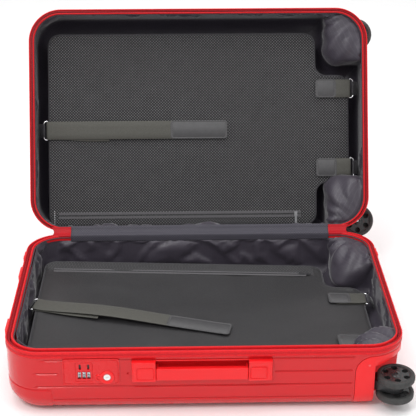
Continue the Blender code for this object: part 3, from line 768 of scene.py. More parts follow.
TYRE_SECTION = ((0.0240, 0.0010), (0.0250, 0.0003), (0.0290, 0.0002), (0.0303, 0.0007),
                (0.0311, 0.0019), (0.0315, 0.0040), (0.0315, 0.0080), (0.0311, 0.0101),
                (0.0303, 0.0113), (0.0290, 0.0118), (0.0252, 0.0119), (0.0243, 0.0113),
                (0.0240, 0.0104))
HUB_SECTION = ((0.0034, 0.0006), (0.0241, 0.0014), (0.0241, 0.0100), (0.0234, 0.0106),
               (0.0222, 0.0106), (0.0214, 0.0100), (0.0090, 0.0096), (0.0078, 0.0104),
               (0.0070, 0.0114), (0.0034, 0.0116))


def build_wheel(half, label, side, disc):
    """One disc: a matt tyre on a glossy hub with six round holes, and a near-black web across
    them as painted shade.
    """
    name = f"{half}_{label}_wheel_{disc}"
    turn = 1 if disc == "inner" else -1
    centre = Vector((AXLE_X, side * SWIVEL_Y - TRAIL, SWIVEL_Z + turn * DISC_OFFSET))
    frame_of = Matrix.Translation(centre)
    if turn < 0:
        frame_of = frame_of @ Matrix.Rotation(math.pi, 4, "X")
    hub = lathe(f"{name}_hub", HUB_SECTION)
    holes = []
    for i in range(HUB_HOLES):
        angle = 2 * math.pi * (i + 0.5) / HUB_HOLES
        spot = (HOLE_CIRCLE * math.cos(angle), HOLE_CIRCLE * math.sin(angle))
        holes.append(cylinder("Z", spot, HOLE_RADIUS, -0.01, 0.03, 24))
    boolean(hub, join("holes", holes))
    bevel(hub, 0.0004, 1, 40)
    apply_modifiers(hub)
    shade(hub, 30)
    tyre = lathe(f"{name}_tyre", TYRE_SECTION)
    tyre.data.shade_smooth()
    # Painted shade: a near-black disc inside the hub, so the holes look dark and deep.
    web = lathe(f"{name}_web", ((0.0060, 0.0024), (0.0242, 0.0024), (0.0242, 0.0034),
                                (0.0060, 0.0034)), 48)
    for part, finish, slot in ((hub, "hub_plastic", "wheel_rubber"),
                               (web, "dark_web", "wheel_rubber"),
                               (tyre, "tyre_rubber", "wheel_rubber")):
        part.data.transform(frame_of)
        place(part, half, name, finish, (name,) if part is tyre else ())


def soften(obj, width, segments, angle):
    """Joins split corners, dissolves flat triangles and rounds the edges."""
    weld = obj.modifiers.new("weld", "WELD")
    weld.merge_threshold = SAME_POINT
    flat = obj.modifiers.new("flat", "DECIMATE")
    flat.decimate_type = "DISSOLVE"
    flat.angle_limit = math.radians(1)
    bevel(obj, width, segments, angle)


def keep_node(name, finish, width=0.0, segments=2, angle=40):
    """A CAD node that stays, with a finish and, where wanted, soft edges."""
    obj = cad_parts[name]
    obj.data.materials.clear()
    obj.data.materials.append(MATERIALS[finish])
    if width:
        soften(obj, width, segments, angle)


def build_fork(half, label, side):
    """The arm between the discs, with a broad rounded nose round the axle."""
    plate = WELL_X + 0.0003
    outline = arc((AXLE_X - 0.0020, -TRAIL), 0.0165, -118, 62, 14)
    outline += [(plate + 0.0012, 0.0120), (plate + 0.0012, -0.0160)]
    arm = prism(outline, "Z", -0.0087, 0.0087)
    recess = prism(arc((AXLE_X - 0.0020, -TRAIL), 0.0125, -118, 62, 12)
                   + [(plate + 0.0060, 0.0070), (plate + 0.0060, -0.0135)], "Z", -0.02, -0.0075)
    boolean(arm, recess)
    boolean(arm, cylinder("Z", (AXLE_X, -TRAIL), 0.0032, -0.02, 0.02, 24))
    bevel(arm, 0.0011, 3, 40)
    apply_modifiers(arm)
    stem = cylinder("X", (0, 0), 0.0050, WELL_X - WALL - 0.0028, plate + 0.002, 24)
    fork = join(f"{half}_{label}_caster_fork", [arm, stem])
    shade(fork, 40)
    fork.data.transform(Matrix.Translation((0, side * SWIVEL_Y, SWIVEL_Z)))
    place(fork, half, f"{half}_{label}_caster", "caster_plastic",
          (f"{half}_{label}_fork",))


def carved_node(name, piece, finish, grooves, normal, width, radius):
    """A copy of a CAD node of the lower case, grooved and with its edges softened."""
    bm = bmesh.new()
    bm.from_mesh(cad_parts[name].data)
    bmesh.ops.remove_doubles(bm, verts=bm.verts, dist=SAME_POINT)
    obj = solid(bm, piece)
    for i, path in enumerate(grooves):
        boolean(obj, tube_along(f"groove_{i}", path, radius, 8, normal=normal))
    soften(obj, width, 2, 50)
    apply_modifiers(obj)
    shade(obj, 35)
    obj.data.materials.append(MATERIALS[finish])
    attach(obj, "lower_case")
    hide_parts(name)


def build_casters(half):
    for label, side in (("front", -1), ("back", 1)):
        for disc in ("inner", "outer"):
            build_wheel(half, label, side, disc)
        build_fork(half, label, side)
        keep_node(f"{half}_{label}_axle", "chrome", 0.0004)
        flange = lathe(f"{half}_{label}_swivel_cap",
                       ((0.0060, 0.0), (0.0162, 0.0), (0.0166, 0.0012), (0.0160, 0.0030),
                        (0.0135, 0.0042), (0.0060, 0.0046)), 40)
        flange.data.shade_smooth()
        flange.data.transform(Matrix.Translation((WELL_X + 0.0004, side * SWIVEL_Y, SWIVEL_Z))
                              @ Matrix.Rotation(math.pi / 2, 4, "Y"))
        place(flange, half, f"{half}_{label}_caster", "caster_plastic")


# ---------------------------------------------------------------- linings

LINING = {
    "lower": {"x": (-0.3105, 0.3215), "y": (-0.1970, 0.2080), "floor": 0.0350, "edge": 0.0205,
              "radii": (0.046, 0.046, 0.056, 0.040), "seed": 3.1},
    "lid": {"x": (-0.3215, 0.3215), "y": (-0.2080, 0.2080), "floor": 0.0056, "edge": 0.0310,
            "radii": (0.056, 0.056, 0.056, 0.056), "seed": 8.7},
}
BULGE_X = 0.2520
BULGE_Y = 0.1140
BULGE_ROUND = 0.022


def resample(points, count):
    array = np.array(points, float)
    lengths = run_lengths(array)
    at = np.linspace(0, lengths[-1], count)
    return np.column_stack([np.interp(at, lengths, array[:, i]) for i in range(array.shape[1])])


def notched(full, x1, y_low, y_high):
    """The lining's outline with its two wheel corners stepped inwards, point for point."""
    result = full.copy()
    for side, y_edge in ((1, y_high), (-1, y_low)):
        inside = (full[:, 0] > BULGE_X) & (full[:, 1] * side > BULGE_Y)
        index = np.nonzero(inside)[0]
        breaks = np.nonzero(np.diff(index) > 1)[0]
        if len(breaks):
            index = np.roll(index, -(breaks[0] + 1))
        centre = (BULGE_X + BULGE_ROUND, side * (BULGE_Y + BULGE_ROUND))
        turns = (270, 180) if side > 0 else (180, 90)
        ends = [(x1, side * BULGE_Y), (BULGE_X, y_edge)][::side]
        path = ends[:1] + arc(centre, BULGE_ROUND, *turns, 8) + ends[1:]
        result[index] = resample(path, len(index))
    return result


def outward_normals(flat):
    ahead = np.roll(flat, -1, axis=0) - np.roll(flat, 1, axis=0)
    normal = np.stack([ahead[:, 1], -ahead[:, 0]], axis=1)
    return normal / np.linalg.norm(normal, axis=1)[:, None]


def smooth_loop(values, times):
    for _ in range(times):
        values = (np.roll(values, 1, axis=0) + 2 * values + np.roll(values, -1, axis=0)) / 4
    return values


def lining_rows(half):
    """Loops of the fabric tub, from under the lip down to the floor."""
    spec = LINING[half]
    x, y = spec["x"], spec["y"]
    full = np.array(loop(x, y, spec["radii"], even(96), even(60), 14))
    wells = smooth_loop(notched(full, x[1], *y), 3)
    normal = outward_normals(smooth_loop(wells, 2))
    low = spec["floor"] + spec["edge"]

    def at_height(flat, z):
        return np.column_stack([flat, np.full(len(flat), z)])

    rows = [at_height(full, RIM_ROW), at_height(full, 0.1085)]
    for share, z in ((0.08, 0.1062), (0.20, 0.1042), (0.33, 0.1020), (0.46, 0.1000),
                     (0.57, 0.0978), (0.67, 0.0950), (0.76, 0.0912), (0.83, 0.0865),
                     (0.88, 0.0815), (0.92, 0.0760), (0.95, 0.0705), (0.975, 0.0650)):
        rows.append(at_height(full + (wells - full) * share, z))
    steps = max(2, round((0.0600 - low) / 0.0055) + 1)
    for z in np.linspace(0.0600, low, steps):
        rows.append(at_height(wells, z))
    for k in range(1, 7):
        angle = math.pi / 2 * k / 6
        inset = spec["edge"] * (1 - math.cos(angle))
        z = low - spec["edge"] * math.sin(angle)
        rows.append(at_height(wells - normal * inset, z))
    return rows


def fold_field(points, seed):
    """Fabric folds: long diagonal ridges, softer waves and fine crumples, in metres."""
    values = np.zeros(len(points))
    for i, p in enumerate(points):
        a = noise.noise(Vector((p[0] * 18 + p[2] * 14, p[1] * 18 - p[2] * 12, seed)))
        b = noise.noise(Vector((p[0] * 38 - p[2] * 32, p[1] * 38 + p[2] * 28, seed + 4.2)))
        c = noise.noise(Vector((p[0] * 95, p[1] * 95, p[2] * 60 + seed)))
        values[i] = (1 - abs(a) * 4.5) * 0.55 + (1 - abs(b) * 3.5) * 0.35 + c * 0.10
    return values


def corner_folds(points, seed):
    """Sharp creases fanning out from the rim corners over the wheel wells."""
    x, y = points[:, 0], points[:, 1]
    fan = np.arctan2(0.200 - np.abs(y), 0.310 - x)
    drift = np.array([noise.noise(Vector((p[0] * 14, p[1] * 14, p[2] * 9 + seed)))
                      for p in points])
    turn = (fan * 2.3 + drift * 0.9 + np.sign(y) * 0.21) % 1.0
    return 1.9 * np.abs(turn * 2 - 1) - 0.45


def corner_weight(points):
    """More slack in the corners and over the wheel wells than along the walls."""
    x, y = np.abs(points[:, 0]), np.abs(points[:, 1])
    reach = smoothstep((x - 0.19) / 0.08) * smoothstep((y - 0.10) / 0.05)
    return 0.60 + 0.40 * reach


def fold_limits(half, stack):
    """How far the cloth may stand off the wall: less where the panel comes close."""
    centre_y = PANEL_CENTRE[half]
    x, y, z = stack[:, :, 0], stack[:, :, 1], stack[:, :, 2]
    gap_x = np.where(np.abs(x) < 0.31, 0.03, np.abs(x) - PANEL_X)
    gap_y = np.where(np.abs(y - centre_y) > PANEL_Y, np.abs(y - centre_y) - PANEL_Y, 0.03)
    gap = np.minimum(np.where(np.abs(x) > 0.30, gap_x, 0.03), gap_y) - 0.0035
    near = (z < PANEL_TOP + 0.018) & (z > PANEL_TOP - 0.022)
    corner = (x > 0.235) & (np.abs(y) > 0.10)
    limit = np.where(near, np.clip(gap, 0.0006, 0.0110), 0.0120)
    limit = np.where(corner, np.maximum(limit, 0.0180), limit)
    limit = limit * np.clip((0.1090 - z) / 0.010, 0.0, 1.0)
    return limit * np.clip((z - 0.050) / 0.012, 0.0, 1.0)


def clear_of_wells(stack):
    """Keeps the cloth off the round wells of the casters."""
    x, y, z = stack[:, :, 0], stack[:, :, 1], stack[:, :, 2]
    wall, reach = WELL_X - WALL - WELL_GAP, WELL_RADIUS + WALL + WELL_GAP
    across, up = np.abs(y) - SWIVEL_Y, z - SWIVEL_Z
    radius = np.maximum(np.hypot(across, up), 1e-6)
    inside = (x > wall) & (radius < reach)
    lift = inside & (reach - radius < x - wall) & (up > 0)
    push = inside & ~lift
    result = stack.copy()
    result[:, :, 0] = np.where(push, wall, x)
    result[:, :, 1] = np.where(lift, np.sign(y) * (SWIVEL_Y + across / radius * reach), y)
    result[:, :, 2] = np.where(lift, SWIVEL_Z + up / radius * reach, z)
    return result


GROWTH = 0.10
CLOTH = {"quality": 6, "mass": 0.12, "tension_stiffness": 8.0, "compression_stiffness": 8.0,
         "shear_stiffness": 4.0, "bending_stiffness": 0.9, "shrink_min": -GROWTH,
         "shrink_max": -GROWTH, "vertex_group_mass": "sewn", "pin_stiffness": 1.0}


def settle(name, points, faces, fixed, frames=22):
    """Lets pinned cloth that is cut too large buckle into folds; returns its points."""
    sheet = make_object(name, mesh_from(name, points, faces), None)
    group = sheet.vertex_groups.new(name="sewn")
    group.add([int(i) for i in fixed], 1.0, "REPLACE")
    cloth = sheet.modifiers.new("cloth", "CLOTH")
    for key, value in CLOTH.items():
        setattr(cloth.settings, key, value)
    cloth.settings.effector_weights.gravity = 0.0
    cloth.point_cache.frame_start = 1
    cloth.point_cache.frame_end = frames
    for frame_number in range(1, frames + 1):
        bpy.context.scene.frame_set(frame_number)
    depsgraph = bpy.context.evaluated_depsgraph_get()
    mesh = sheet.evaluated_get(depsgraph).to_mesh()
    moved = np.empty(len(mesh.vertices) * 3)
    mesh.vertices.foreach_get("co", moved)
    bpy.data.objects.remove(sheet)
    bpy.context.scene.frame_set(1)
    return moved.reshape(-1, 3)


def inward_normals(stack):
    """Unit normals of a tub of loops, pointing into it."""
    around = np.roll(stack, -1, axis=1) - np.roll(stack, 1, axis=1)
    down = np.gradient(stack, axis=0)
    normal = np.cross(around, down)
    normal /= np.maximum(np.linalg.norm(normal, axis=2), 1e-9)[:, :, None]
    middle = stack.reshape(-1, 3).mean(axis=0) + np.array([0.0, 0.0, 0.03])
    wrong = (normal * (middle - stack)).sum(axis=2).mean() < 0
    return -normal if wrong else normal


def hang_folds(half, stack, limit):
    """Folds of the lining: cut large and let go, then held inside its limits."""
    rows, columns = stack.shape[:2]
    flat = stack.reshape(-1, 3)
    weight = corner_weight(flat)
    fan = np.where(flat[:, 0] > 0, (weight - 0.60) / 0.40, 0.0)
    weight = weight * np.where(fan > 0, np.clip((flat[:, 2] - 0.066) / 0.034, 0.35, 1.0), 1.0)
    folds = fold_field(flat, LINING[half]["seed"])
    folds += (corner_folds(flat, LINING[half]["seed"]) - folds) * fan
    folds = folds.reshape(rows, columns)
    weight = weight.reshape(rows, columns)
    inward = inward_normals(stack)
    start = np.minimum(np.clip(0.0030 + 0.0085 * folds, 0.0, 0.016) * weight, limit)
    begun = stack + inward * start[:, :, None]
    fixed = [r * columns + c for r in (0, 1, rows - 1) for c in range(columns)]
    moved = settle("lining_folds", begun.reshape(-1, 3), grid_faces(rows, columns), fixed)
    moved = moved.reshape(rows, columns, 3)
    shift = moved - stack
    off = (shift * inward).sum(axis=2)
    along = shift - inward * off[:, :, None]
    length = np.linalg.norm(along, axis=2)
    along *= (np.minimum(length, 0.0035) / np.maximum(length, 1e-9))[:, :, None]
    off = np.where(off > 0, limit * np.tanh(off / np.maximum(limit, 1e-6)), 0.0)
    share = np.clip(limit / 0.006, 0, 1) * np.clip(off / 0.002, 0, 1)
    return stack + inward * off[:, :, None] + along * share[:, :, None]


def build_lining(half):
    """Thin cloth tub with folds, slack over the wheel wells and taut at the rim."""
    spec = LINING[half]
    stack = np.array(lining_rows(half))
    stack = clear_of_wells(hang_folds(half, stack, fold_limits(half, stack)))
    loops = list(stack)
    centre = stack[-1].mean(axis=0)
    for share in (0.85, 0.6):
        ring = stack[-1].copy()
        ring[:, :2] = centre[:2] + (ring[:, :2] - centre[:2]) * share
        ring[:, 2] = spec["floor"]
        loops.append(ring)
    verts = [tuple(p) for row in loops for p in row]
    columns = len(loops[0])
    faces = grid_faces(len(loops), columns)
    uvs = grid_uvs(loops)
    start = (len(loops) - 1) * columns
    faces.append(tuple(start + c for c in range(columns)))
    uvs += [(p[0], p[1]) for p in loops[-1]]
    lining = make_object(f"{half}_lining_cloth", mesh_from("lining", verts, faces, uvs), None)
    thicken = lining.modifiers.new("cloth", "SOLIDIFY")
    thicken.thickness = LINING_THICKNESS
    thicken.offset = 1.0
    apply_modifiers(lining)
    lining.data.shade_smooth()
    place(lining, half, f"{half}_case", "lining_fabric",
          (f"{half}_lining",))
    return lining


# ---------------------------------------------------------------- divider panels

PANEL_TOP = 0.0680
PANEL_X = 0.2950
PANEL_Y = 0.1885
PANEL_ROUND = 0.022
TONGUE_X = 0.2300
TONGUE_Y = 0.1050
PANEL_CENTRE = {"lower": -0.0060, "lid": -0.0175}
PANEL_TILT = {"lower": math.radians(1.9), "lid": 0.0}
ZIP_Y = {"lower": -0.0060 + 0.1885 - 0.036, "lid": -0.0175 - 0.1885 + 0.021}
STRAP_X = (-0.2955, 0.0560)
STRAP = {"lower": (0.0100, math.radians(-12.5)), "lid": (-0.0170, 0.0)}
TABS = {"lower": (0.0520, -0.0950), "lid": (0.0620, -0.0940)}


def panel_frame(half):
    return (Matrix.Translation((0, 0, PANEL_TOP)) @ Matrix.Rotation(PANEL_TILT[half], 4, "Y"))


def lay(obj, half, frame_of, finish, replaces=()):
    """Places a piece on its half's divider, by the frame it was modelled in."""
    obj.data.transform(frame_of)
    return place(obj, half, f"{half}_divider", finish, replaces)


def panel_outline(centre_y, shrink=0.0, steps=8):
    """The panel's outline: a rectangle with two rounded notches at the wheel end."""
    r = PANEL_ROUND - shrink
    hollow = PANEL_ROUND + shrink
    x1, x0, y1 = PANEL_X - shrink, -PANEL_X + shrink, PANEL_Y - shrink
    tx, ty = TONGUE_X - shrink, TONGUE_Y - shrink
    points = arc((x1 - r, -ty + r), r, -90, 0, steps)
    points += arc((x1 - r, ty - r), r, 0, 90, steps)
    points += arc((tx + hollow, ty + hollow), hollow, 270, 180, steps)
    points += arc((tx - r, y1 - r), r, 0, 90, steps)
    points += arc((x0 + r, y1 - r), r, 90, 180, steps)
    points += arc((x0 + r, -y1 + r), r, 180, 270, steps)
    points += arc((tx - r, -y1 + r), r, 270, 360, steps)
    points += arc((tx + hollow, -ty - hollow), hollow, 180, 90, steps)
    return [(x, y + centre_y) for x, y in points]


def panel_height(half, x, y):
    """Gentle rise and fall of the padded face, in metres."""
    seed = 1.7 if half == "lower" else 6.3
    broad = noise.noise(Vector((x * 7, y * 9, seed)))
    fine = noise.noise(Vector((x * 19, y * 22, seed + 3)))
    scale = 0.0032 if half == "lower" else 0.0012
    return scale * (broad + 0.35 * fine) - 0.0008


def build_panel(half):
    """Padded panel with a rounded border, softly uneven, its underside flat."""
    centre_y = PANEL_CENTRE[half]
    bm = bmesh.new()
    levels = ((0.0, -0.0046), (0.0, -0.0024), (0.0006, -0.0012), (0.0016, -0.0005),
              (0.0032, -0.0001), (0.0060, 0.0))
    rows = wall_of(bm, [[(x, y, z) for x, y in panel_outline(centre_y, shrink)]
                        for shrink, z in levels])
    bm.faces.new(rows[0][::-1])
    face = bm.faces.new(rows[-1])
    cuts = [(0, x) for x in np.arange(-0.285, 0.29, 0.0095)]
    cuts += [(1, y) for y in np.arange(centre_y - 0.180, centre_y + 0.181, 0.0095)]
    cuts += [(1, ZIP_Y[half]), (0, 0.215)]
    top = {v for f in divide(bm, [face], cuts) for v in f.verts}
    border = set(rows[-1])
    for vert in top:
        if vert not in border and len(vert.link_faces) > 0:
            edge_gap = min(PANEL_X - abs(vert.co.x), PANEL_Y - abs(vert.co.y - centre_y))
            fade = float(smoothstep((edge_gap - 0.006) / 0.02))
            vert.co.z += panel_height(half, vert.co.x, vert.co.y) * fade
    flat_uvs(bm)
    panel = solid(bm, f"{half}_divider_panel")
    shade(panel, 50)
    lay(panel, half, panel_frame(half), f"{half}_mesh", (f"{half}_divider",))
    if half == "lower":
        panel.data.materials.append(MATERIALS["lid_mesh"])
        for face in panel.data.polygons:
            if face.center.y > ZIP_Y[half] and face.center.x < 0.215:
                face.material_index = 1


def tube_along(name, path, radius, sides=8, closed=True, flat=1.0, normal=(0, 0, 1)):
    """A round cord along points lying across normal; flat squeezes it that way."""
    normal = Vector(normal)
    points = [Vector(p) for p in path]
    count = len(points)
    verts = []
    for i, p in enumerate(points):
        before = points[i - 1] if closed or i > 0 else points[0]
        after = points[(i + 1) % count] if closed or i < count - 1 else points[-1]
        along = (after - before).normalized()
        across = along.cross(normal)
        across = across.normalized() if across.length > 1e-6 else Vector((1, 0, 0))
        up = across.cross(along)
        for k in range(sides):
            a = 2 * math.pi * (k + 0.5) / sides
            verts.append(p + across * (radius * math.cos(a)) + up * (radius * flat * math.sin(a)))
    faces = grid_faces(count, sides, close_rows=closed)
    if not closed:
        faces.append(tuple(range(sides))[::-1])
        faces.append(tuple((count - 1) * sides + k for k in range(sides)))
    return make_object(name, outward(mesh_from(name, verts, faces)), 60)


def build_panel_trim(half):
    """Bound edge, and the zip tape with its coil along the net strip's seam."""
    centre_y = PANEL_CENTRE[half]
    frame_of = panel_frame(half)
    binding = tube_along(f"{half}_divider_binding",
                         [(x, y, -0.0024) for x, y in panel_outline(centre_y, 0.0003)],
                         0.0022)
    lay(binding, half, frame_of, "binding")
    y = ZIP_Y[half]
    x0, x1 = -0.2780, 0.2000
    tapes = [soft_box((x0, x1), sorted((y + side * 0.0012, y + side * 0.0064)),
                      (-0.0010, 0.0006), 0.0004, 1) for side in (-1, 1)]
    tape = join(f"{half}_pocket_zip_tape", tapes)
    lay(tape, half, frame_of, "zip_cloth")
    count = round((x1 - x0) / COIL_PITCH)
    blocks = []
    for i in range(count):
        x = x0 + (i + 0.5) * (x1 - x0) / count
        shift = 0.0005 if i % 2 else -0.0005
        blocks.append([(x + a, y + b + shift, c) for a, b, c in
                       product((-0.00055, 0.00055), (-0.0011, 0.0011), (-0.0004, 0.0010))])
    coil = make_object(f"{half}_pocket_zip_coil", blocks_mesh("coil", blocks), None)
    lay(coil, half, frame_of, "coil")
    keep_node(f"{half}_pocket_slider", "gunmetal", 0.0004)
    if half == "lid":
        beads = [box((-0.2868, -0.2852), (y_bead - 0.0009, y_bead + 0.0009), (-0.0008, 0.0012))
                 for y_bead in np.arange(centre_y - 0.183, centre_y - 0.158, 0.0040)]
        bead = join("lid_pocket_zip_stop", beads)
        lay(bead, half, frame_of, "dial_metal")


# ---------------------------------------------------------------- straps and rings

def ribbon(name, path, width, thickness, rounding=0.0004):
    """A flat webbing strip along (x, z) points, centred on Y 0, with soft edges."""
    points = [Vector((x, 0, z)) for x, z in path]
    count = len(points)
    half_w, half_t = width / 2, thickness / 2
    profile = [(-half_w + rounding, -half_t), (half_w - rounding, -half_t),
               (half_w, -half_t + rounding), (half_w, half_t - rounding),
               (half_w - rounding, half_t), (half_w / 3, half_t), (-half_w / 3, half_t),
               (-half_w + rounding, half_t), (-half_w, half_t - rounding),
               (-half_w, -half_t + rounding)]
    verts, uvs = [], []
    lengths = [0.0]
    for a, b in zip(points, points[1:]):
        lengths.append(lengths[-1] + (b - a).length)
    for i, p in enumerate(points):
        before = points[max(0, i - 1)]
        after = points[min(count - 1, i + 1)]
        along = (after - before).normalized()
        up = Vector((-along.z, 0, along.x))
        for across, rise in profile:
            verts.append(p + Vector((0, across, 0)) + up * rise)
    sides = len(profile)
    faces = grid_faces(count, sides)
    for r in range(count - 1):
        for c in range(sides):
            d = (c + 1) % sides
            uvs += [(lengths[r], profile[c][0]), (lengths[r], profile[d][0]),
                    (lengths[r + 1], profile[d][0]), (lengths[r + 1], profile[c][0])]
    faces.append(tuple(range(sides))[::-1])
    uvs += [(0.0, profile[c][0]) for c in range(sides)][::-1]
    faces.append(tuple((count - 1) * sides + k for k in range(sides)))
    uvs += [(lengths[-1], profile[c][0]) for c in range(sides)]
    return make_object(name, outward(mesh_from(name, verts, faces, uvs)), 45)


def slab(name, rows, cuts=()):
    """Stacked outlines joined into a closed body, then split along X so it can bend."""
    bm = bmesh.new()
    layers = wall_of(bm, rows)
    bm.faces.new(layers[0][::-1])
    bm.faces.new(layers[-1])
    for x in cuts:
        bmesh.ops.bisect_plane(bm, geom=bm.verts[:] + bm.edges[:] + bm.faces[:], dist=1e-6,
                               plane_co=(float(x), 0, 0), plane_no=(1, 0, 0))
    flat_uvs(bm)
    return solid(bm, name)


def bend(obj, rise):
    for vert in obj.data.vertices:
        vert.co.z += rise(vert.co.x)


def end_patch(name, low, high):
    """A moulded end piece over the webbing, with rounded corners and a sewn channel."""
    top = 0.0010
    levels = ((0.0005, -top), (0.0, -top + 0.0004), (0.0, top - 0.0006), (0.0007, top),
              (0.0022, top), (0.0026, top - 0.0004), (0.0032, top - 0.0004), (0.0036, top))
    rows = []
    for shrink, z in levels:
        outline = rounded_rectangle((low + shrink, high - shrink),
                                    (-PATCH_WIDTH / 2 + shrink, PATCH_WIDTH / 2 - shrink),
                                    0.0060 - shrink * 0.8, 6)
        rows.append([(x, y, PATCH_RISE + z) for x, y in outline])
    patch = slab(name, rows, np.arange(low + 0.004, high - 0.003, 0.006))
    shade(patch, 45)
    return patch


BAR_X = -0.0021
BAR_Z = 0.0026


def loop_round_bar(under_end, over_end, rise):
    """(x, z) path of webbing: from under_end to the ring's bar, round it and back on top."""
    path = [(x, 0.0008 + rise(x) * 0.6) for x in np.linspace(under_end, 0.006, 12)]
    path += [(BAR_X + 0.0021 * math.cos(a), BAR_Z + 0.0021 * math.sin(a))
             for a in np.linspace(-math.pi * 0.5, -math.pi * 1.5, 11)]
    path += [(x, 0.0034 + (0.0012 if x < 0.006 else 0.0) * (1 - x / 0.006) + rise(x))
             for x in np.linspace(0.002, over_end, max(6, round(over_end / 0.006)))]
    return path


def strap_rise(half):
    """How far the long strap lifts off the panel along its length."""
    lift = 0.0046 if half == "lower" else 0.0012

    def rise(x):
        hump = math.sin(math.pi * min(max((x - 0.02) / 0.30, 0.0), 1.0))
        wave = 0.25 * math.sin(2 * math.pi * min(max((x - 0.05) / 0.26, 0.0), 1.0))
        return lift * max(0.0, hump + wave)
    return rise


def sew_on(half, label, node, webbing, patch, span, rise, frame_of):
    """Puts a strap, its end piece and stitches on the divider, with its ring and anchor.
    """
    row = (span[0] + STITCH_INSET, span[1] - STITCH_INSET)
    half_width = PATCH_WIDTH / 2 - STITCH_INSET
    stitches = stitch_row(f"{node}_stitches", (row, (-half_width, half_width)), rise)
    for part, finish in ((webbing, "webbing"), (patch, "patch"), (stitches, "grey_thread")):
        lay(part, half, frame_of, finish,
            (node,) if part is webbing else ())
    build_ring(half, label, frame_of @ Matrix.Translation((BAR_X, 0, BAR_Z))
               @ Matrix.Rotation(math.pi, 4, "Z"))
    anchor(half, label, frame_of)


def build_strap(half):
    """Long strap: doubled webbing round the ring's bar and a grey end piece."""
    y, slant = STRAP[half]
    frame_of = (panel_frame(half) @ Matrix.Translation((STRAP_X[0], y, 0))
                @ Matrix.Rotation(slant, 4, "Z"))
    rise = strap_rise(half)
    length = STRAP_X[1] - STRAP_X[0]
    webbing = ribbon(f"{half}_strap_webbing", loop_round_bar(0.118, 0.262, rise),
                     WEBBING_WIDTH, WEBBING)
    for vert in webbing.data.vertices:
        under = vert.co.z < 0.0019 + rise(vert.co.x) * 0.75 and vert.co.x > 0.004
        if under:
            vert.co.y -= 0.0040 * smoothstep((vert.co.x - 0.02) / 0.06)
    patch = end_patch(f"{half}_strap_end", 0.2395, length)
    bend(patch, rise)
    sew_on(half, "left", f"{half}_strap", webbing, patch, (0.2395, length), rise, frame_of)


def stitch_row(name, region, rise):
    """Stitches round a rounded rectangle."""
    (x0, x1), (y0, y1) = region
    outline = rounded_rectangle((x0, x1), (y0, y1), 0.0035, 4)
    points = resample(outline + outline[:1], round((2 * (x1 - x0 + y1 - y0)) / 0.0030))
    blocks = []
    for a, b in zip(points, points[1:]):
        along = (b - a) / np.linalg.norm(b - a)
        block = []
        for s, t, z in product((-0.0010, 0.0010), (-0.00022, 0.00022), (-0.0003, 0.0002)):
            spot = (a + b) / 2 + along * s + np.array([-along[1], along[0]]) * t
            block.append((spot[0], spot[1], STITCH_RISE + z + rise(spot[0])))
        blocks.append(block)
    return make_object(name, blocks_mesh(name, blocks), None)


def level(_):
    """The rise of a tab, which lies flat."""
    return 0.0


def build_tabs(half):
    """Short receiving tabs at the wheel end: webbing round the ring, sewn under a patch."""
    for label, y in zip(("back", "front"), TABS[half]):
        frame_of = (panel_frame(half) @ Matrix.Translation((0.2955, y, 0))
                    @ Matrix.Rotation(math.pi, 4, "Z"))
        node = f"{half}_tab_{label}"
        webbing = ribbon(f"{node}_webbing", loop_round_bar(0.050, 0.052, level), WEBBING_WIDTH,
                         WEBBING)
        patch = end_patch(f"{node}_patch", 0.0235, 0.0645)
        sew_on(half, label, node, webbing, patch, (0.0235, 0.0645), level, frame_of)


def build_ring(half, label, frame_of):
    """Wire ring: a straight bar at X 0 and a rounded bow towards +X."""
    reach, bow, radius = 0.0187, 0.0079, 0.0060
    path = [(0.0, y) for y in np.linspace(-reach + 0.003, reach - 0.003, 6)]
    path += arc((0.0028, reach - 0.0028), 0.0028, 180, 90, 4)
    path += arc((bow - radius, reach - radius), radius, 90, 0, 7)
    path += arc((bow - radius, -reach + radius), radius, 0, -90, 7)
    path += arc((0.0028, -reach + 0.0028), 0.0028, 270, 180, 4)
    ring = tube_along(f"{half}_ring_{label}_wire", [(x, y, 0.0) for x, y in path], 0.0013, 12)
    ring.data.shade_smooth()
    ring.data.transform(frame_of)
    place(ring, half, f"{half}_ring_{label}", "chrome",
          (f"{half}_ring_{label}",))


def anchor(half, label, frame_of):
    """Cloth loop that holds the ring's bow to the lining; it tilts with the panel."""
    bow = BAR_X - 0.0079
    path = [(bow + 0.0019 * math.cos(a), BAR_Z + 0.0019 * math.sin(a))
            for a in np.linspace(math.pi * 0.62, -math.pi * 0.5, 9)]
    path += [(bow - 0.0030, BAR_Z - 0.0022), (bow - 0.0065, BAR_Z - 0.0040),
             (bow - 0.0095, BAR_Z - 0.0085), (bow - 0.0108, BAR_Z - 0.0150)]
    strip = ribbon(f"{half}_anchor_{label}", path, 0.0270, 0.0010, 0.0003)
    strip.data.transform(frame_of)
    strip.data.transform(HALF_FRAMES[half])
    strip.data.materials.append(MATERIALS["binding"])
    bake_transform(strip)


# ---------------------------------------------------------------- hinge cover

HINGE_X = (-0.2490, 0.2470)


def over_lid(y, z):
    """(y, z) in the world of a lid point that mirrors a lower one across the hinge."""
    point = LID_FRAME @ Vector((0.0, -y, z))
    return point.y, point.z


def hinge_path(reach, rim, top):
    """From inside the lower rim, up and over the hinge, to inside the lid's rim."""
    lower = [(reach, 0.1080), (reach, 0.1165), (reach + 0.0006, top - 0.0008),
             (reach + 0.0020, top)]
    upper = [over_lid(y, z) for y, z in lower[::-1]]
    crest = [(rim, top + 0.0003), (0.2148, 0.1222), (0.2168, 0.1244), over_lid(rim, top + 0.0003)]
    return resample(lower + crest + upper, 36)


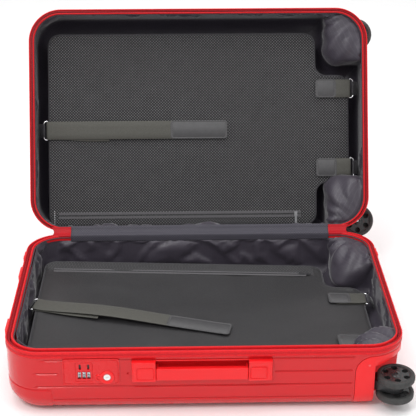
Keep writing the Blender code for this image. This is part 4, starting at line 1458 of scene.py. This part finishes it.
def hinge_sheet(name, low, high, columns, points, softness, sink=0.0, scoop=0.0):
    """Cloth strip over the hinge between two X stations, its outer end hollowed by scoop."""
    xs = np.linspace(low, high, columns)
    tangent = np.gradient(points, axis=0)
    normal = np.column_stack([-tangent[:, 1], tangent[:, 0]])
    normal /= np.linalg.norm(normal, axis=1)[:, None]
    lengths = run_lengths(points)
    verts, faces, uvs = [], [], []
    for i, (y, z) in enumerate(points):
        middle = math.sin(math.pi * i / (len(points) - 1))
        for x in xs:
            soft = noise.noise(Vector((x * 22, lengths[i] * 60, 2.2)))
            pucker = noise.noise(Vector((x * 75, lengths[i] * 30, 7.7)))
            lift = max(0.0, 0.0003 + softness * middle * (0.6 * soft + 0.4 * pucker)) - sink
            end = abs(x - min(low, high, key=abs)) / (high - low)
            pull = math.copysign(scoop * middle * end ** 2, x)
            verts.append((x - pull, y + normal[i][0] * lift, z + normal[i][1] * lift))
    for r in range(len(points) - 1):
        for c in range(columns - 1):
            a = r * columns + c
            faces.append((a, a + 1, a + columns + 1, a + columns))
            uvs += [(xs[c], lengths[r]), (xs[c + 1], lengths[r]),
                    (xs[c + 1], lengths[r + 1]), (xs[c], lengths[r + 1])]
    cover = make_object(name, mesh_from(name, verts, faces, uvs), None)
    thicken = cover.modifiers.new("cloth", "SOLIDIFY")
    thicken.thickness = COVER_THICKNESS
    thicken.offset = 0.0
    apply_modifiers(cover)
    cover.data.shade_smooth()
    return cover, float(lengths[-1])


def build_hinge_cover():
    """Grey cloth over the hinge, and the red tape that runs on from each end of it."""
    cover, length = hinge_sheet("hinge_cover_cloth", *HINGE_X, 150,
                                hinge_path(0.2050, 0.2110, 0.1212), 0.0010)
    cover.data.materials.append(MATERIALS["hinge_cloth"])
    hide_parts("hinge_cover")
    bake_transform(cover)
    for label, low, high in (("left", -0.2900, HINGE_X[0] + 0.004),
                             ("right", HINGE_X[1] - 0.004, 0.2900)):
        tape, length = hinge_sheet(f"hinge_tape_{label}", low, high, 30,
                                   hinge_path(0.2056, 0.2110, 0.1206)[5:-7], 0.0003, 0.0008,
                                   0.008)
        tape.data.materials.append(MATERIALS["hinge_tape"])
        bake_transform(tape)


# ---------------------------------------------------------------- lock and handles

def build_lock():
    """The raised lock plate keeps its CAD form; detail is added on and in it."""
    keep_node("release_button", "red_fittings", 0.0003, 2, 30)
    front = LOCK_FACE_Y
    bezel = rounded_rectangle((-0.2089, -0.1815), (0.0657, 0.1004), 0.0022, 6)
    border = rounded_rectangle((-0.2276, -0.1404), (0.0614, 0.1046), 0.0040, 8)
    grooves = [[(x, front - 0.0001, z) for x, z in outline] for outline in (bezel, border)]
    carved_node("lock_plate", "lock_face", "red_lock", grooves, (0, 1, 0), 0.0004, 0.0007)
    inserts = []
    for x in (-0.2017, -0.1881):
        outline = rounded_rectangle((x - 0.0016, x + 0.0016), (0.0869, 0.0971), 0.0015, 4)
        inserts.append(prism(outline, "Y", front + 0.0030, front + 0.0048))
    insert = join("lock_slot_inserts", inserts)
    place(insert, "lower", "lower_case", "black_plastic")
    collars = []
    for x, inner, outer in ((KEY_X, 0.0066, 0.0122), (-0.1712, 0.0034, 0.0064)):
        section = ((inner, -0.0010), (outer, -0.0010), (outer, 0.0008), (outer - 0.0005, 0.0019),
                   (outer - 0.0014, 0.0025), (outer - 0.0022, 0.0024), (inner + 0.0008, 0.0012),
                   (inner + 0.0002, 0.0008), (inner, 0.0004))
        collar = lathe("collar", section, 64)
        collar.data.transform(Matrix.Translation((x, front, KEY_Z))
                              @ Matrix.Rotation(math.pi / 2, 4, "X"))
        collars.append(collar)
    collar = join("lock_key_collars", collars)
    shade(collar, 50)
    place(collar, "lower", "lower_case", "red_fittings")
    for i, x in enumerate(DIALS_X):
        name = f"dial_{i + 1}"
        centre = Matrix.Translation((x, front - 0.0013 + DIAL_RADIUS, DIALS_Z))
        drum = lathe(f"{name}_drum", ((0.0020, -0.0025), (0.0060, -0.0025), (0.0065, -0.0021),
                                      (0.0065, 0.0021), (0.0060, 0.0025), (0.0020, 0.0025)), 60)
        drum.data.transform(Matrix.Rotation(math.pi / 2, 4, "Y"))
        shade(drum, 35)
        marks = []
        for k in range(DIAL_MARKS):
            mark = box((-0.0013, 0.0013), (-0.00670, -0.00640), (-0.0009, 0.0009))
            line = box((-0.0024, 0.0024), (-0.00672, -0.00640), (-0.00022, 0.00022))
            for part, step in ((mark, k), (line, k + 0.5)):
                turn = 2 * math.pi * step / DIAL_MARKS + 0.31
                part.data.transform(Matrix.Rotation(turn, 4, "X"))
                marks.append(part)
        mark = join(f"{name}_marks", marks)
        for part, finish in ((drum, "dial_metal"), (mark, "black_plastic")):
            part.data.transform(centre)
            place(part, "lower", name, finish,
                  (name,) if part is drum else ())
    disc = lathe("key_disc", ((0.0056, -0.0040), (0.0057, 0.0006), (0.0054, 0.0010),
                              (0.0040, 0.0011), (0.0036, 0.0008)), 48, capped=True)
    disc.data.transform(Matrix.Translation((KEY_X, front, KEY_Z))
                        @ Matrix.Rotation(math.pi / 2, 4, "X"))
    slot_cut = box((KEY_X - 0.0024, KEY_X + 0.0024), (front - 0.002, front + 0.0006),
                   (KEY_Z - 0.0005, KEY_Z + 0.0005))
    boolean(disc, slot_cut)
    shade(disc, 35)
    place(disc, "lower", "key_cylinder", "key_white", ("key_cylinder",))


HANDLE_HALF = 0.1137
BLOCK = 0.0385
HANDLE_Z = (0.0665, 0.1024)


def build_handle(name, location, turn):
    """Tray with rounded end blocks and a bar between them."""
    matrix = Matrix.Translation(location) @ Matrix.Rotation(turn, 4, "Z")
    grooves = []
    for side in (-1, 1):
        x = sorted((side * (HANDLE_HALF - 0.0090), side * (HANDLE_HALF - BLOCK + 0.0030)))
        outline = rounded_rectangle(x, (HANDLE_Z[0] + 0.0045, HANDLE_Z[1] - 0.0100), 0.0035, 8)
        grooves.append([matrix @ Vector((a, -0.0086, z)) for a, z in outline])
    carved_node(f"{name}_base", f"{name}_mount", "red_fittings", grooves,
                matrix.to_3x3() @ Vector((0, 1, 0)), 0.0016, 0.0011)
    keep_node(f"{name}_grip", "red_fittings", 0.0024, 4, 50)


def build_handles():
    build_handle("side_handle", (-0.0046, -WALL_Y, 0), 0.0)
    build_handle("top_handle", (-WALL_X, 0, 0), -math.pi / 2)


def build_trolley():
    keep_node("trolley_housing", "black_plastic", 0.0008, 2, 40)
    keep_node("trolley_grip", "black_plastic", 0.0014, 3, 40)
    keep_node("trolley_button", "chrome", 0.0006, 2, 40)
    for label in ("front", "back"):
        keep_node(f"trolley_tube_{label}", "aluminium", 0.0010, 3, 40)
    for label in ("left", "right"):
        keep_node(f"main_slider_{label}", "red_fittings", 0.0006, 2, 40)


# ---------------------------------------------------------------- finishes

class Finish:
    """Builds one procedural material; every value is set straight on its socket."""

    def __init__(self, name, roughness, metallic=0.0):
        self.material = bpy.data.materials.new(name)
        self.material.use_nodes = True
        self.tree = self.material.node_tree
        self.surface = self.tree.nodes["Principled BSDF"]
        self.surface.inputs["Metallic"].default_value = metallic
        self.surface.inputs["Roughness"].default_value = roughness
        self.place = self.tree.nodes.new("ShaderNodeTexCoord").outputs["Object"]
        self.bump = None

    def feed(self, socket, value):
        """Links a socket's output, or sets a plain value, on an input."""
        if isinstance(value, bpy.types.NodeSocket):
            self.tree.links.new(value, socket)
        else:
            socket.default_value = value

    def node(self, kind, **inputs):
        made = self.tree.nodes.new(kind)
        for key, value in inputs.items():
            self.feed(made.inputs[key.replace("_", " ")], value)
        return made

    def noise(self, scale, detail=2.0, rough=0.55):
        made = self.node("ShaderNodeTexNoise", Scale=scale, Detail=detail, Roughness=rough,
                         Vector=self.place)
        return made.outputs["Fac"]

    def math(self, operation, *values):
        made = self.tree.nodes.new("ShaderNodeMath")
        made.operation = operation
        for socket, value in zip(made.inputs, values):
            self.feed(socket, value)
        return made.outputs[0]

    def spread(self, value, low, high, start=0.0, end=1.0):
        made = self.node("ShaderNodeMapRange", Value=value, From_Min=start, From_Max=end,
                         To_Min=low, To_Max=high)
        return made.outputs["Result"]

    def mix(self, share, first, second):
        made = self.tree.nodes.new("ShaderNodeMix")
        made.data_type = "RGBA"
        self.tree.links.new(share, made.inputs[0])
        for socket, colour in ((made.inputs[6], first), (made.inputs[7], second)):
            self.feed(socket, (*colour, 1.0) if isinstance(colour, tuple) else colour)
        return made.outputs[2]

    def weave(self, pitch, diagonal=False, stretch=1.0):
        """0 to 1 woven dots from the cloth layer, pitch in metres."""
        cloth = self.node("ShaderNodeUVMap")
        cloth.uv_map = "cloth"
        parts = self.node("ShaderNodeSeparateXYZ")
        self.tree.links.new(cloth.outputs["UV"], parts.inputs[0])
        u, v = parts.outputs[0], self.math("MULTIPLY", parts.outputs[1], stretch)
        if diagonal:
            u, v = self.math("ADD", u, v), self.math("SUBTRACT", u, v)
        turn = 2 * math.pi / pitch
        first = self.math("SINE", self.math("MULTIPLY", u, turn))
        second = self.math("SINE", self.math("MULTIPLY", v, turn))
        return self.spread(self.math("MULTIPLY", first, second), 0.0, 1.0, -1.0, 1.0)

    def raise_by(self, height, distance, strength=1.0):
        made = self.node("ShaderNodeBump", Strength=strength, Distance=distance, Height=height)
        if self.bump is not None:
            self.tree.links.new(self.bump, made.inputs["Normal"])
        self.bump = made.outputs["Normal"]

    def colour(self, value):
        self.tree.links.new(value, self.surface.inputs["Base Color"])

    def rough(self, value):
        self.tree.links.new(value, self.surface.inputs["Roughness"])

    def set(self, **inputs):
        for key, value in inputs.items():
            self.surface.inputs[key.replace("_", " ")].default_value = value

    def done(self):
        if self.bump is not None:
            self.tree.links.new(self.bump, self.surface.inputs["Normal"])
        return self.material


def lacquer(name, dark, light, rough, coat):
    """Moulded plastic: slight mottling, fine orange peel and a clear coat."""
    m = Finish(name, rough[0])
    m.colour(m.mix(m.noise(14.0, 3.0), dark, light))
    m.rough(m.spread(m.noise(60.0, 3.0), rough[0], rough[1], 0.3, 0.7))
    m.raise_by(m.noise(900.0, 2.0), 0.00002, 0.35)
    m.raise_by(m.noise(30.0, 1.0), 0.0002, 0.12)
    m.set(Coat_Weight=coat, Coat_Roughness=0.12, Specular_IOR_Level=0.32)
    return m.done()


def plain_plastic(name, dark, light, rough, grain=900.0, depth=0.00006):
    m = Finish(name, rough[0])
    m.colour(m.mix(m.noise(110.0, 4.0), dark, light))
    m.rough(m.spread(m.noise(240.0, 3.0), rough[0], rough[1], 0.3, 0.7))
    m.raise_by(m.noise(grain, 3.0), depth)
    return m.done()


def metal(name, dark, light, rough):
    m = Finish(name, rough[0], 1.0)
    m.colour(m.mix(m.noise(90.0, 3.0), dark, light))
    m.rough(m.spread(m.noise(400.0, 4.0), rough[0], rough[1], 0.3, 0.7))
    m.raise_by(m.noise(1500.0, 2.0), 0.00001)
    return m.done()


def grain_cloth(name, dark, light, scale=1400.0, sheen=0.3, rough=0.75):
    """Small woven trim with no cloth layer of its own."""
    m = Finish(name, rough)
    fine = m.noise(scale, 2.0)
    m.colour(m.mix(m.spread(fine, 0.0, 1.0, 0.35, 0.65), dark, light))
    m.raise_by(fine, 0.00025)
    m.set(Sheen_Weight=sheen, Sheen_Roughness=0.4, Specular_IOR_Level=0.2)
    return m.done()


def woven(name, dark, light, pitch, diagonal, depth, rough=0.75, sheen=0.3, crisp=0.40,
          level=0.575, wear_and_sheen_scale=55.0, wear_and_sheen_share=0.12):
    m = Finish(name, rough)
    dots = m.weave(pitch, diagonal)
    # Low-frequency tone mixed into the dots: random wear, and on the lower mesh painted sheen
    # blotches of the undulating fabric.
    wear_and_sheen = m.noise(wear_and_sheen_scale, 3.0)
    shade = m.math("ADD", m.math("MULTIPLY", dots, 0.85),
                   m.math("MULTIPLY", wear_and_sheen, wear_and_sheen_share))
    m.colour(m.mix(m.spread(shade, 0.0, 1.0, level - crisp, level + crisp), dark, light))
    m.rough(m.spread(m.noise(300.0, 3.0), rough - 0.08, rough + 0.08, 0.3, 0.7))
    m.raise_by(dots, depth)
    m.raise_by(m.noise(2200.0, 2.0), 0.0001, 0.6)
    m.set(Sheen_Weight=sheen, Sheen_Roughness=0.4)
    return m.done()


def lining_cloth(name):
    """Silky dark lining with sparse fine dots."""
    m = Finish(name, 0.5)
    dots = m.weave(0.0058, True)
    spots = m.spread(dots, 0.0, 1.0, 0.90, 0.99)
    ground = m.mix(m.noise(26.0, 3.0), (0.030, 0.025, 0.036), (0.044, 0.037, 0.052))
    m.colour(m.mix(spots, ground, (0.10, 0.092, 0.11)))
    m.rough(m.spread(m.noise(210.0, 3.0), 0.38, 0.55, 0.3, 0.7))
    m.raise_by(m.noise(120.0, 3.0), 0.0006, 0.6)
    m.raise_by(m.weave(0.0007), 0.00004, 0.6)
    m.set(Sheen_Weight=0.35, Sheen_Roughness=0.35)
    return m.done()


FINISHES = (
    ("red_shell", lacquer, (0.50, 0.004, 0.007), (0.55, 0.005, 0.009),
                         (0.18, 0.26), 0.15),
    ("red_fittings", lacquer, (0.70, 0.008, 0.011), (0.75, 0.010, 0.013),
                            (0.28, 0.38), 0.06),
    ("red_lock", lacquer, (0.56, 0.006, 0.009), (0.62, 0.008, 0.011),
                        (0.22, 0.32), 0.10),
    ("hinge_tape", grain_cloth, (0.30, 0.002, 0.006), (0.44, 0.005, 0.011), 900.0,
                              0.0, 0.5),
    # Zip web: darker red, partly painted shade of the groove between the ridges.
    ("zip_web", grain_cloth, (0.18, 0.002, 0.007), (0.30, 0.004, 0.012), 900.0,
                           0.0, 0.6),
    ("zip_tape", grain_cloth, (0.46, 0.004, 0.009), (0.74, 0.014, 0.018), 900.0,
                            0.05, 0.5),
    ("zip_teeth", plain_plastic, (0.26, 0.004, 0.010), (0.36, 0.007, 0.014),
                               (0.35, 0.5)),
    ("red_thread", grain_cloth, (0.34, 0.006, 0.012), (0.46, 0.012, 0.018)),
    ("piping", grain_cloth, (0.030, 0.027, 0.033), (0.060, 0.054, 0.064)),
    ("lining_fabric", lining_cloth),
    ("lid_mesh", woven, (0.004, 0.004, 0.0045), (0.128, 0.124, 0.131), 0.0056, False,
                      0.0005, 0.85, 0.0, 0.14, 0.66),
    # Its large, strong tone blotches are painted sheen from the undulating padded fabric.
    ("lower_mesh", woven, (0.0062, 0.006, 0.0066), (0.030, 0.0288, 0.0312), 0.0026,
                        False, 0.0003, 0.40, 0.1, 0.45, 0.64, 9.0, 0.5),
    ("binding", grain_cloth, (0.022, 0.021, 0.024), (0.050, 0.048, 0.053)),
    ("zip_cloth", grain_cloth, (0.060, 0.058, 0.062), (0.110, 0.106, 0.112)),
    ("coil", plain_plastic, (0.020, 0.020, 0.022), (0.040, 0.040, 0.042), (0.3, 0.45)),
    ("webbing", woven, (0.046, 0.045, 0.038), (0.072, 0.070, 0.060), 0.0012, False,
                     0.0001, 0.7, 0.1),
    ("patch", plain_plastic, (0.042, 0.041, 0.043), (0.062, 0.061, 0.064), (0.5, 0.65),
                           500.0, 0.00025),
    ("grey_thread", grain_cloth, (0.10, 0.098, 0.10), (0.15, 0.147, 0.15)),
    ("hinge_cloth", woven, (0.026, 0.024, 0.034), (0.062, 0.057, 0.076), 0.0048,
                         False, 0.0002, 0.7, 0.1),
    ("caster_plastic", plain_plastic, (0.012, 0.012, 0.013),
                                    (0.024, 0.024, 0.026), (0.32, 0.48)),
    ("hub_plastic", plain_plastic, (0.020, 0.020, 0.021), (0.036, 0.036, 0.037),
                                 (0.16, 0.28)),
    ("tyre_rubber", plain_plastic, (0.010, 0.010, 0.010), (0.055, 0.055, 0.054),
                                 (0.62, 0.82), 1300.0, 0.0003),
    # Painted shade: near-black web seen through the hub's holes.
    ("dark_web", plain_plastic, (0.003, 0.003, 0.003), (0.006, 0.006, 0.006),
                              (0.6, 0.8)),
    ("black_plastic", plain_plastic, (0.010, 0.010, 0.011),
                                   (0.020, 0.020, 0.021), (0.35, 0.5)),
    ("chrome", metal, (0.62, 0.62, 0.64), (0.78, 0.78, 0.80), (0.10, 0.22)),
    ("gunmetal", metal, (0.20, 0.20, 0.21), (0.34, 0.34, 0.35), (0.25, 0.4)),
    ("dial_metal", metal, (0.48, 0.48, 0.50), (0.66, 0.66, 0.68), (0.2, 0.35)),
    ("aluminium", metal, (0.58, 0.59, 0.60), (0.70, 0.71, 0.72), (0.25, 0.4)),
    ("screw", metal, (0.70, 0.10, 0.11), (0.78, 0.16, 0.17), (0.35, 0.5)),
    ("key_white", plain_plastic, (0.70, 0.69, 0.68), (0.80, 0.79, 0.78),
                               (0.25, 0.4)),
)
MATERIALS = {name: make(name, *values) for name, make, *values in FINISHES}


# ---------------------------------------------------------------- stage

def build_stage():
    """A pale floor, a bright surround and soft lamps."""
    bpy.ops.mesh.primitive_plane_add(size=14, location=(0, 0, 0))
    floor = bpy.context.object
    floor.name = "floor"
    m = Finish("floor_white", 0.35)
    m.colour(m.mix(m.noise(3.0, 2.0), (0.90, 0.90, 0.90), (0.93, 0.93, 0.93)))
    m.rough(m.spread(m.noise(18.0, 2.0), 0.30, 0.40, 0.3, 0.7))
    floor.data.materials.append(m.done())
    world = bpy.data.worlds.new("surround")
    bpy.context.scene.world = world
    world.use_nodes = True
    world.node_tree.nodes["Background"].inputs[0].default_value = (1.0, 1.0, 1.0, 1.0)
    world.node_tree.nodes["Background"].inputs[1].default_value = 0.80
    lamps = (("key", (-1.1, -1.6, 2.4), (34, 0, -35), 1.0, 34.0),
             ("fill", (1.6, -1.0, 1.6), (48, 0, 56), 1.2, 8.0),
             ("top", (0.0, 0.4, 2.8), (0, 0, 0), 2.4, 46.0))
    for name, location, turn, size, power in lamps:
        data = bpy.data.lights.new(name, "AREA")
        data.shape = "SQUARE"
        data.size = size
        data.energy = power
        lamp = bpy.data.objects.new(name, data)
        lamp.location = location
        lamp.rotation_euler = [math.radians(v) for v in turn]
        bpy.context.scene.collection.objects.link(lamp)


def build_camera():
    data = bpy.data.cameras.new("camera")
    data.lens = 102.08
    data.sensor_width = 36.0
    camera = bpy.data.objects.new("camera", data)
    bpy.context.scene.collection.objects.link(camera)
    right = Vector((0.99973, -0.02339, 0.0))
    forward = Vector((0.02117, 0.90510, -0.42467))
    up = right.cross(forward)
    turn = Matrix((right, up, -forward)).transposed().to_4x4()
    camera.matrix_world = Matrix.Translation((-0.0331, -1.8278, 1.1297)) @ turn
    bpy.context.scene.camera = camera
    bpy.context.scene.view_settings.view_transform = "Standard"


for half in ("lower", "lid"):
    build_shell(half)
    build_housings(half)
    build_rim(half)
    build_casters(half)
    build_lining(half)
    build_panel(half)
    build_panel_trim(half)
    build_strap(half)
    build_tabs(half)
build_hinge_cover()
build_lock()
build_handles()
build_trolley()
build_stage()
build_camera()
